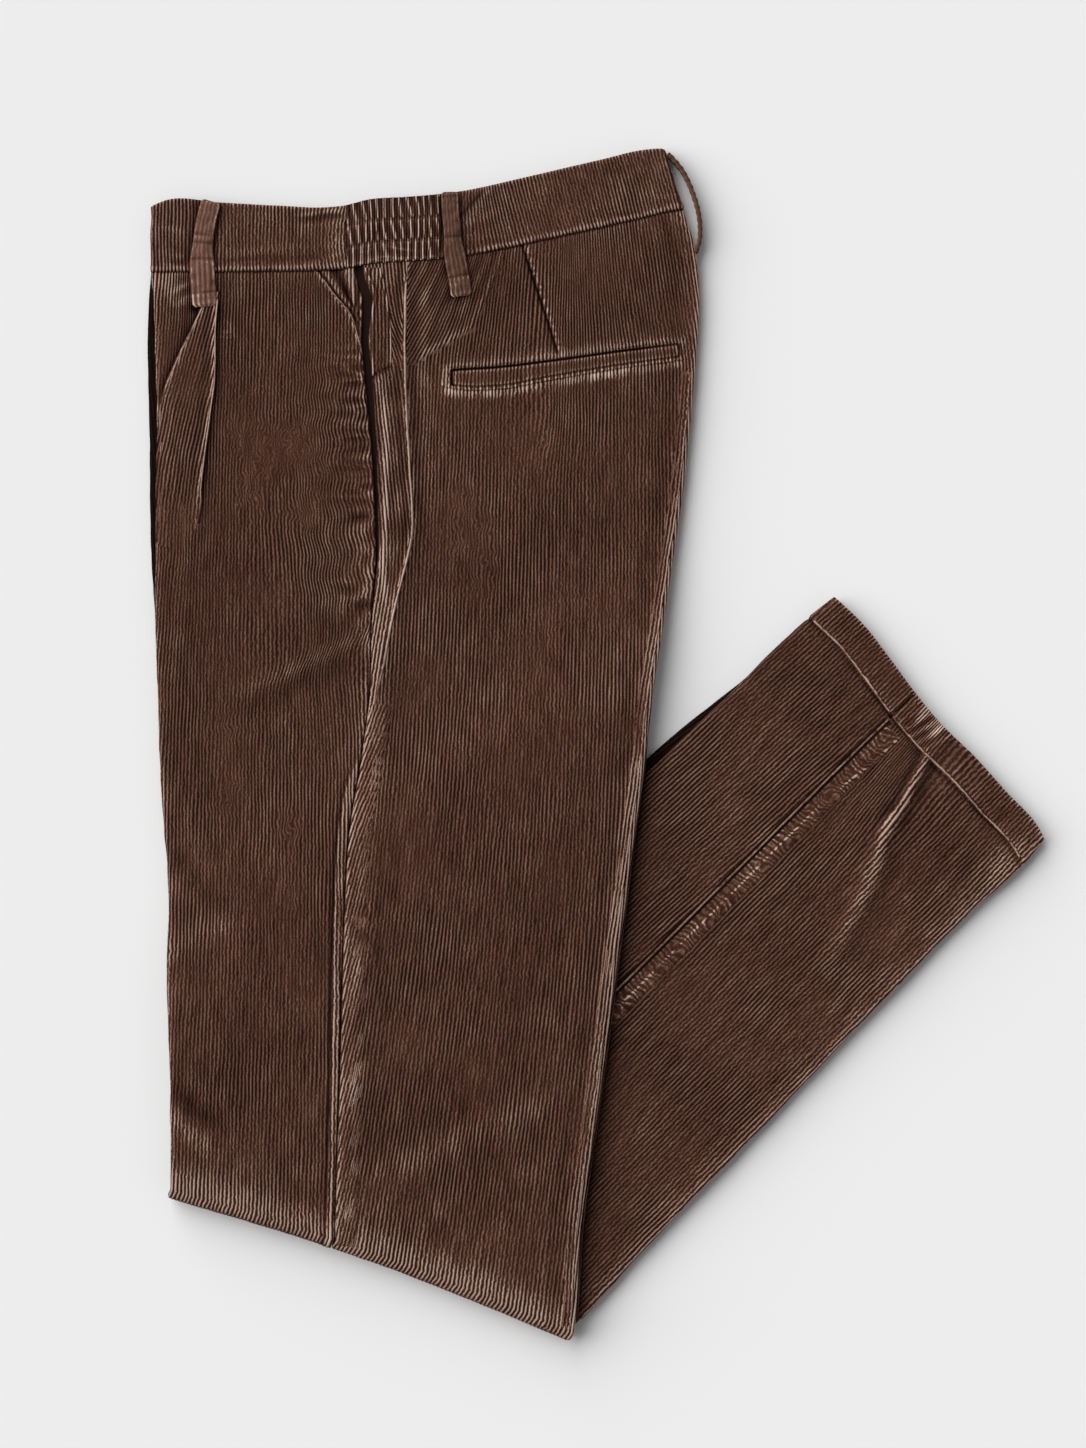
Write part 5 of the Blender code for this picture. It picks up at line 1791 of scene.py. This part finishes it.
def build_elastic(leg, lay, gathered, proud, height, crest_at, band):
    """The gathered part of the waistband: upright bulges, pinched in by two rows of stitches."""

    def share_down(x, y):
        return (WAIST_TOP(x) - y) / (WAIST_TOP(x) - WAIST_SEAM(x))

    def bulge(x, y):
        slant = 0.10 * (y - 296)
        tier = np.floor(share_down(x, y) * 3 + 0.02)
        shift = 0.35 * np.sin(tier * 2.1) * smooth((x + 150) / 30)
        number = (x + slant - FRONT_BAND_END) / (BACK_BAND_START - FRONT_BAND_END) * ELASTIC_GATHERS
        wave = 0.5 - 0.5 * np.cos(2 * np.pi * (number + shift + 0.24 * ripple(x / 3, y / 9, 14)))
        return wave**2.2

    def pinch(x, y):
        share = share_down(x, y)
        return bell((share - 0.345) / 0.030) + bell((share - 0.685) / 0.030)

    def gathers(x, y):
        if not gathered:
            return proud + 0 * x
        uneven = 0.85 + 0.25 * ripple(x / 3, y / 4, 43)
        foot = 0.8 * crumpled(x * 0.8, y * 0.9, 45) * bell((y - WAIST_SEAM(x) - 5) / 5) * bell((x + 118) / 16)
        return proud + foot + 1.6 * bulge(x, y) * uneven * (1 - 0.85 * pinch(x, y)) - 0.35 * pinch(x, y)

    def gather_wear_and_shade(x, y):
        if not gathered:
            return 0.1 + 0 * x
        crest = bulge(x, y) ** 3
        low = y - WAIST_SEAM(x)
        rim = 0.6 * bell((low - 1.2 - 0.5 * ripple(x / 2, y / 9, 44)) / 0.8)
        rim = rim + 0.7 * crumpled(x * 0.8, y * 0.9, 45) ** 3 * bell((low - 5) / 5) * bell((x + 118) / 16)
        stitch = 0.5 * pinch(x, y) * (0.5 + 0.5 * np.cos(x * 4.2))
        # The gathers are lighter on their crests and darker in the hollows between them, where shade is
        # painted.
        gather = 0.95 * crest * (1 - 0.5 * pinch(x, y)) - 0.20 * (1 - bulge(x, y)) ** 3 + 0.14
        return gather + rim + stitch + loop_shadow(x, y)

    wales = wale_lines(level_lean, 1.45, -118.0, 300.0, (240, 370), 47)
    ends = (lambda y: FRONT_BAND_END + 0 * y, lambda y: BACK_BAND_START + 0 * y)
    numbers = numbers_for(wales, *ends, (265, 350), 5)
    rows = np.concatenate(
        [BAND_TURN, plain_rows(np.linspace(0, 1, 80)[1:-1]), BAND_END * np.array([1, -1, 1])]
    )
    arrays = cloth(
        wales, numbers, rows, band, *ends, lay, relief=gathers, wear=gather_wear_and_shade,
        wale_height=0.5 * height, crest_at=crest_at,
    )
    # The far one is hidden and finished plainly, with no gathers.
    flat, how = ((90.0, 52.0), "gathered") if gathered else ((54.0, 52.0), "folded")
    cut_piece(
        f"{leg}_elastic_band_cloth", [arrays], brown(), flat,
        [f"{leg}_elastic_waistband"], gathered,
    )


# ---------------------------------------------------------------- pockets and loops

WELT_COLUMNS = ("x", "low", "high")
WELT = (
    (-89.6, 207.9, 217.2),
    (-83.0, 206.2, 218.0),
    (-57.0, 205.6, 219.8),
    (-25.0, 211.2, 223.6),
    (12.0, 217.4, 228.8),
    (50.6, 222.6, 233.6),
)
WELT_LOW = curve(WELT, WELT_COLUMNS, "x", "low")
WELT_HIGH = curve(WELT, WELT_COLUMNS, "x", "high")
FACING_COLUMNS = ("y", "inner", "outer")
FACING = (
    (276.0, -134.6, -124.5),
    (262.0, -129.4, -121.0),
    (248.0, -130.4, -119.0),
    (234.0, -131.4, -118.0),
    (217.0, -129.8, -117.6),
)

LOOP_COLUMNS = ("x", "y", "clear")
FRONT_LOOP = (
    (-222.6, 314.4, 0.5),
    (-224.2, 309.0, 0.9),
    (-226.4, 298.0, 1.5),
    (-227.9, 284.0, 1.3),
    (-227.7, 272.0, 1.1),
    (-227.0, 262.0, 0.7),
    (-226.4, 253.5, 0.3),
)
SIDE_LOOP = (
    (-84.6, 319.8, 0.5),
    (-84.4, 312.0, 0.9),
    (-83.4, 301.0, 1.6),
    (-82.4, 288.0, 1.3),
    (-80.6, 277.0, 1.0),
    (-78.6, 266.0, 0.6),
    (-77.8, 259.5, 0.3),
)
# Each loop's path, width, wales, the distances of its sewn bars from its top, and how pale it is.
LOOPS = {
    "front": (FRONT_LOOP, 14.4, 5, (20.0, 24.6, 34.0, 53.4), 1.25),
    "side": (SIDE_LOOP, 12.4, 5, (2.6, 26.0, 49.0), 0.86),
}
LOOP_THICKNESS = 1.5
BACK_LOOP_COLUMNS = ("x", "y")
BACK_LOOP = (
    (42.7, 342.9),
    (45.8, 339.7),
    (50.2, 334.4),
    (54.4, 327.0),
    (57.6, 319.0),
    (60.5, 309.0),
    (61.6, 297.6),
    (61.0, 290.8),
    (59.1, 284.9),
)
BACK_LOOP_THICKNESS = 2.2
BACK_LOOP_HEIGHT = 11.0


def loop_shadow(x, y):
    """Dark beside the belt loops, which stand on the cloth."""
    total = 0.0
    for path, width, *_ in LOOPS.values():
        _, (loop_x, loop_y, _) = resample(path, LOOP_COLUMNS, 40)
        order = np.argsort(loop_y)
        middle = np.interp(y, loop_y[order], loop_x[order])
        left = x < middle
        off = np.abs(x - middle) - width / 2 + 0.8
        off = np.maximum(off, loop_y.min() - y)
        total = (
            total
            - np.where(left, 1.0, 0.6) * np.exp(-((np.maximum(off, 0) / np.where(left, 3.0, 1.2)) ** 1.5))
        )
    return total


def resample(rows, names, count):
    """Columns of a table at even steps along its line."""
    steps = np.hypot(np.diff(column(rows, names, "x")), np.diff(column(rows, names, "y")))
    at = np.concatenate([[0], np.cumsum(steps)])
    even = np.linspace(0, at[-1], count)
    return even, [cubic(at, column(rows, names, name))(even) for name in names]


def tube(points, number, along, worn):
    """A closed tube from rings of points, with a fan on each end."""
    rows, around, _ = points.shape
    flat = points.reshape(-1, 3)
    start = points[0].mean(axis=0)
    end = points[-1].mean(axis=0)
    ring = np.arange(around)
    last = ring + (rows - 1) * around
    caps = [
        np.stack([np.full(around, len(flat)), np.roll(ring, -1), ring], axis=1),
        np.stack([np.full(around, len(flat) + 1), last, np.roll(last, -1)], axis=1),
    ]

    def fill(values):
        flat_values = np.broadcast_to(values, (rows, around)).reshape(-1)
        return np.concatenate([flat_values, flat_values[[0, -1]]])

    return {
        "points": np.concatenate([flat, [start, end]]),
        "triangles": np.concatenate([grid_triangles(rows, around, close_cols=True), *caps]),
        "number": fill(number),
        "along": fill(along),
        "wear": fill(worn),
        "crush": fill(0 * worn),
    }


def loop_arrays(path, width, wales, marks):
    """A belt loop: a flat tube carried along its path, with rounded ends and edges and its own
    wales, a sewn line along each edge, and bar stitches across it at the marks."""
    rows = 130
    around = 16 * wales
    even, (x, y, clear) = resample(path, LOOP_COLUMNS, rows)
    ends = np.minimum(even, even[-1] - even)
    tangent = np.stack([np.gradient(x), np.gradient(y)])
    tangent = tangent / np.hypot(*tangent)
    turn = np.linspace(0, 2 * np.pi, around, endpoint=False)[None, :]
    across = 0.5 * np.sign(np.cos(turn)) * np.abs(np.cos(turn)) ** 0.35 + 0 * x[:, None]
    top = np.sin(turn) > 0
    number = (across + 0.5) * wales + 0.10 * ripple(across * 3, even[:, None] / 4, 111)
    half = LOOP_THICKNESS / 2 * np.sign(np.sin(turn)) * np.abs(np.sin(turn)) ** 0.5
    close = np.sqrt(np.clip(ends / 1.6, 0.02, 1))[:, None]
    round_off = (1 - np.clip(ends / 2.6, 0, 1)) ** 3
    wide = (0.80 + 0.20 * smooth((even - 24) / 14) - 0.22 * round_off)[:, None]
    middle = bell(across / 0.30)
    relief = 0.22 * (wale_shape(number) - 1) * (0.35 + 0.65 * middle)
    edge_line = bell((np.abs(across) - 0.38) / 0.035)
    bars = sum(bell((even - mark) / 0.7) for mark in marks)[:, None]
    tab = smooth((even - marks[-1]) / 1.5)[:, None]
    bumps = 0.20 * ripple(across * 9, even[:, None] / 1.4, 113)
    top_relief = np.where(top, relief - 0.30 * edge_line - 0.28 * bars + bumps, 0)
    z = clear[:, None] + 0.5 + BAND_PROUD + LOOP_THICKNESS / 2 + (half + top_relief) * close
    a = x[:, None] - tangent[1][:, None] * across * width * wide
    b = y[:, None] + tangent[0][:, None] * across * width * wide
    rim = 0.60 * bell((np.abs(across) - 0.47) / 0.05)
    beside = sum(bell((even - mark - 1.8) / 0.9) for mark in marks)[:, None]
    rubs = 0.22 * beside + 0.15 * bell((ends - 1.2) / 1.2)[:, None] + 0.28 * tab
    spots = 0.55 * crumpled(across * width * 0.9, even[:, None], 115) ** 3 * np.abs(across) ** 0.5
    worn = (
        rim + rubs + spots - 0.30 * edge_line - 0.45 * bars
        + 0.10 * ripple(across * 3, even[:, None] / 5, 112)
    )
    return tube(lay_near_thigh(a, b, -z), number, even[:, None], worn)


def fix_outward(piece):
    """Turns a closed mesh the right way out, by the sign of its volume."""
    mesh = piece.data
    count = len(mesh.vertices)
    points = np.empty(count * 3, np.float32)
    mesh.vertices.foreach_get("co", points)
    points = points.reshape(-1, 3).astype(float)
    points -= points.mean(axis=0)
    corners = np.empty(len(mesh.loops), np.int32)
    mesh.loops.foreach_get("vertex_index", corners)
    corner = points[corners.reshape(-1, 3)]
    if np.einsum("ij,ij->i", corner[:, 0], np.cross(corner[:, 1], corner[:, 2])).sum() < 0:
        mesh.flip_normals()


def loop_piece(name, arrays, node, paler=1.0):
    """A belt loop is one strip, with its edges turned in behind it."""
    piece = make_piece(name, arrays, brown_rubbed(node, paler), None)
    fix_outward(piece)
    dress(piece, "corduroy", node)


def belt_loops():
    for name, (path, width, wales, marks, paler) in LOOPS.items():
        arrays = loop_arrays(path, width, wales, marks)
        loop_piece(
            f"{name}_loop_cloth", arrays, f"{name}_belt_loop", paler,
        )


def back_loop():
    """The loop at the centre back: a band that stands out from the folded edge."""
    rows = 60
    around = 44
    even, (x, y) = resample(BACK_LOOP, BACK_LOOP_COLUMNS, rows)
    outward = np.stack([-np.gradient(y), np.gradient(x)])
    outward = outward / np.hypot(*outward)
    turn = np.linspace(0, 2 * np.pi, around, endpoint=False)[None, :]
    level = BACK_LOOP_HEIGHT / 2 * (1 + np.sign(np.sin(turn)) * np.abs(np.sin(turn)) ** 0.3) + 0 * x[:, None]
    number = level / BACK_LOOP_HEIGHT * 5
    relief = 0.3 * (wale_shape(number) - 0.5)
    inward = BACK_LOOP_THICKNESS / 2 * (1 - np.sign(np.cos(turn)) * np.abs(np.cos(turn)) ** 0.5)
    inward = inward - relief * np.sign(np.cos(turn)) + 0.18 * np.sin(even[:, None] * 1.5)
    a = x[:, None] - outward[0][:, None] * inward
    b = y[:, None] - outward[1][:, None] * inward
    points = np.stack([a, b, np.clip(level, 0.05, None)], axis=-1)
    # Lighter and darker bands along the loop's upper half, in step with its ripples.
    worn = 0.10 + 0.45 * np.sin(even[:, None] * 1.5) * (np.sin(turn) > 0.2)
    arrays = tube(points, number, even[:, None], worn)
    loop_piece(
        "centre_back_loop_cloth", arrays, "centre_back_belt_loop",
    )


def welt():
    """The back pocket: a raised welt framed by its slit, which is painted dark as shade, with a worn,
    puckered seam below.
    """
    pitch = sizes().thigh_pitch / MM
    height = sizes().wale_height / MM
    wales = wale_lines(back_lean, pitch, -45.0, 150.0, (-400, 330), 17)
    left = lambda y: WELT[0][0] + 0 * y
    right = lambda y: WELT[-1][0] + 0 * y
    numbers = numbers_for(wales, left, right, (205, 236))

    def relief(x, y):
        inside = welt_inset(x, y)
        slit = -(0.15 + 0.65 * welt_mouth(x, y)) * bell(inside / 0.7)
        rim = 0.35 * bell((inside + 1.5) / 0.9)
        body = 0.7 * smooth(inside / 1.2)
        puckers = 0.25 * np.cos(x * 1.9 + ripple(x / 3, y, 121)) * bell((y - WELT_LOW(x) - 1.0) / 1.4)
        return back_ground(x, y) + 0.25 + slit + rim + body + puckers

    def wear(x, y):
        inside = welt_inset(x, y)
        low = bell((y - WELT_LOW(x) - 0.9) / 1.1) * (0.70 + 0.55 * np.cos(x * 1.9 + ripple(x / 3, y, 121)))
        top = 0.40 * bell((WELT_HIGH(x) - y - 0.4) / 0.6)
        crown = 0.30 * bell((inside - 1.6) / 0.9)
        tab = 0.55 * smooth((-84.2 - x) / 1.5) * smooth((x + 90) / 2)
        end = 0.45 * smooth((x - 49.4) / 1.0)
        mouth = welt_mouth(x, y)
        # Painted shade in the slit, darkest along its open mouth.
        slit = -(0.10 + 1.4 * mouth) * bell(inside / (0.50 + 0.15 * mouth))
        return 0.75 * low + top + crown + tab + end + slit + 0.05

    arrays = cloth(
        wales, numbers, plain_rows(np.linspace(0, 1, 44)), between(WELT_HIGH, WELT_LOW), left, right,
        lay_near_thigh,
        relief=relief, wear=wear, wale_height=0.6 * height,
    )
    cut_piece(
        "back_welt_cloth", [arrays], brown(), (142.0, 13.7),
        ["back_pocket_welt"], True,
    )


def facing_foot(x):
    """The facing's slanted lower end."""
    return 213.0 + 0.55 * (x + 130)


def facing():
    """The strip at the side pocket's mouth, with a sewn line along each edge, painted shade inside those
    lines and under its foot.
    """
    pitch = sizes().thigh_pitch / MM
    height = sizes().wale_height / MM
    inner = curve(FACING, FACING_COLUMNS, "y", "inner")
    outer = curve(FACING, FACING_COLUMNS, "y", "outer")
    wales = wale_lines(level_lean, pitch, -126.0, 240.0, (200, 290), 131)
    numbers = numbers_for(wales, inner, outer, (212, 276), 9)

    def relief(x, y):
        inset = np.minimum(x - inner(y), outer(y) - x)
        knot = 0.9 * bell((x + 122) / 3.5) * bell((y - 272) / 5)
        soft = 0.12 * ripple(x / 3, y / 9, 51)
        foot = -0.25 * bell((y - facing_foot(x)) / 1.2)
        return 0.95 * smooth(inset / 0.8) + 0.35 * bell((inset - 0.9) / 0.5) + soft + knot + foot

    def wear(x, y):
        inset = np.minimum(x - inner(y), outer(y) - x)
        # Lighter along the sewn edges, with painted shade just inside them.
        edges = (
            1.0 * bell((inset - 0.8) / 0.45) - 0.45 * bell((inset - 2.0) / 0.6)
            + 0.4 * bell((outer(y) - x - 3.0) / 0.4)
        )
        knot = 0.5 * crumpled(x * 1.5, y * 0.8, 53) * smooth((y - 262) / 6)
        # Painted shade under the facing's foot.
        foot = -0.9 * bell((y - facing_foot(x)) / 1.2)
        return edges + 0.04 + knot + foot

    arrays = cloth(
        wales, numbers, plain_rows(np.linspace(0, 1, 90)), between(lambda x: 276.0 + 0 * x, facing_foot),
        inner, outer, lay_near_thigh, relief=relief, wear=wear, wale_height=0.8 * height,
    )
    cut_piece(
        "side_facing_cloth", [arrays], brown(), (11.6, 66.0),
        ["side_pocket_facing"], True,
    )


# ---------------------------------------------------------------- stage

CAMERA_HEIGHT = 3.0
VIEW_HEIGHT = 0.8398  # metres of the floor from the frame's lower edge to its upper one
VIEW_CENTRE = (-0.0306, 0.0117)


def stage():
    """What the trousers are shown on."""
    mesh = bpy.data.meshes.new("floor")
    half = 12.0
    mesh.from_pydata(
        [(-half, -half, 0), (half, -half, 0), (half, half, 0), (-half, half, 0)], [], [(0, 1, 2, 3)],
    )
    paper = bpy.data.materials.new("floor_paper")
    paper.use_nodes = True
    shader = paper.node_tree.nodes["Principled BSDF"]
    shader.inputs["Base Color"].default_value = (*colours()["paper"], 1.0)
    shader.inputs["Roughness"].default_value = 0.95
    shader.inputs["Specular IOR Level"].default_value = 0.0
    mesh.materials.append(paper)
    floor = bpy.data.objects.new("floor", mesh)
    bpy.context.scene.collection.objects.link(floor)
    floor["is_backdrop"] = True

    bpy.context.scene.view_settings.view_transform = "Standard"
    world = bpy.data.worlds.new("studio")
    world.use_nodes = True
    world.node_tree.nodes["Background"].inputs["Color"].default_value = (1.0, 1.0, 1.0, 1.0)
    world.node_tree.nodes["Background"].inputs["Strength"].default_value = 0.26
    bpy.context.scene.world = world
    sun = bpy.data.lights.new("window", "SUN")
    sun.energy = 5.25
    sun.angle = np.radians(90.0)
    lamp = bpy.data.objects.new("window", sun)
    lamp.rotation_euler = (np.radians(-30.0), np.radians(-58.0), 0.0)
    bpy.context.scene.collection.objects.link(lamp)

    lens = bpy.data.cameras.new("camera")
    lens.sensor_width = 36.0
    lens.lens = 36.0 * (CAMERA_HEIGHT - 0.006) / VIEW_HEIGHT
    lens.clip_end = 20.0
    camera = bpy.data.objects.new("camera", lens)
    camera.location = (*VIEW_CENTRE, CAMERA_HEIGHT)
    bpy.context.scene.collection.objects.link(camera)
    bpy.context.scene.camera = camera


def cores():
    """The hidden layers between the panels show the cloth's plain back, darkened as painted shade between the
    layers.
    """
    # Near-black: painted shade in the gaps between the layers.
    inside = woven("cloth_back_shaded", (0.010, 0.004, 0.003), (0.022, 0.010, 0.007), 900.0)
    for name in ("thigh_core", "calf_core"):
        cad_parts[name].data.materials.clear()
        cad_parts[name].data.materials.append(inside)


# ---------------------------------------------------------------- operators and panel


class TROUSERS_OT_thighs(bpy.types.Operator):
    """Makes the front and back panels above the knee, with the near leg's pleat and ridge"""

    bl_idname = "trousers.thighs"
    bl_label = "Thigh panels"

    def execute(self, context):
        near_front()
        near_back()
        far_thighs()
        return {"FINISHED"}


class TROUSERS_OT_calves(bpy.types.Operator):
    """Makes the panels below the knee, with their hems"""

    bl_idname = "trousers.calves"
    bl_label = "Calf panels"

    def execute(self, context):
        far_calf()
        near_calf()
        return {"FINISHED"}


class TROUSERS_OT_waistband(bpy.types.Operator):
    """Makes the waistband and its gathered elastic part on both sides"""

    bl_idname = "trousers.waistband"
    bl_label = "Waistband"

    def execute(self, context):
        build_band("near", lay_near_thigh, True, BAND_PROUD)
        build_band("far", lay_far_thigh, False, 0.0)
        return {"FINISHED"}


class TROUSERS_OT_loops(bpy.types.Operator):
    """Makes the three belt loops"""

    bl_idname = "trousers.loops"
    bl_label = "Belt loops"

    def execute(self, context):
        belt_loops()
        back_loop()
        return {"FINISHED"}


class TROUSERS_OT_pockets(bpy.types.Operator):
    """Makes the back pocket's welt and the side pocket's facing"""

    bl_idname = "trousers.pockets"
    bl_label = "Pocket trims"

    def execute(self, context):
        welt()
        facing()
        return {"FINISHED"}


class TROUSERS_OT_cores(bpy.types.Operator):
    """Gives the hidden layers their finish"""

    bl_idname = "trousers.cores"
    bl_label = "Hidden layers"

    def execute(self, context):
        cores()
        return {"FINISHED"}


class TROUSERS_OT_stage(bpy.types.Operator):
    """Makes the floor, the light and the camera"""

    bl_idname = "trousers.stage"
    bl_label = "Stage"

    def execute(self, context):
        stage()
        return {"FINISHED"}


OPERATORS = (
    TROUSERS_OT_thighs,
    TROUSERS_OT_calves,
    TROUSERS_OT_waistband,
    TROUSERS_OT_loops,
    TROUSERS_OT_pockets,
    TROUSERS_OT_cores,
    TROUSERS_OT_stage,
)


class TROUSERS_PT_panel(bpy.types.Panel):
    """Lists the trousers' settings and the operators that make them"""

    bl_idname = "TROUSERS_PT_panel"
    bl_label = "Folded trousers"
    bl_space_type = "VIEW_3D"
    bl_region_type = "UI"
    bl_category = "Trousers"

    def draw(self, context):
        for group in (context.scene.trouser_sizes, context.scene.trouser_colours):
            for name in group.__annotations__:
                self.layout.prop(group, name)
        for operator in OPERATORS:
            self.layout.operator(operator.bl_idname)


CLASSES = (TrouserSizes, TrouserColours, *OPERATORS, TROUSERS_PT_panel)


def register():
    """Adds the add-on's classes and settings."""
    for kind in CLASSES:
        bpy.utils.register_class(kind)
    bpy.types.Scene.trouser_sizes = bpy.props.PointerProperty(type=TrouserSizes)
    bpy.types.Scene.trouser_colours = bpy.props.PointerProperty(type=TrouserColours)


def unregister():
    """Takes them out again."""
    del bpy.types.Scene.trouser_colours
    del bpy.types.Scene.trouser_sizes
    for kind in reversed(CLASSES):
        bpy.utils.unregister_class(kind)


def main():
    """Makes every piece in order."""
    register()
    bpy.ops.trousers.thighs()
    bpy.ops.trousers.calves()
    bpy.ops.trousers.waistband()
    bpy.ops.trousers.loops()
    bpy.ops.trousers.pockets()
    bpy.ops.trousers.cores()
    bpy.ops.trousers.stage()
    low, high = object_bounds()
    {"cad": [list(corner) for corner in CAD_BOX], "visual": [list(low), list(high)]}


if __name__ == "__main__":
    main()
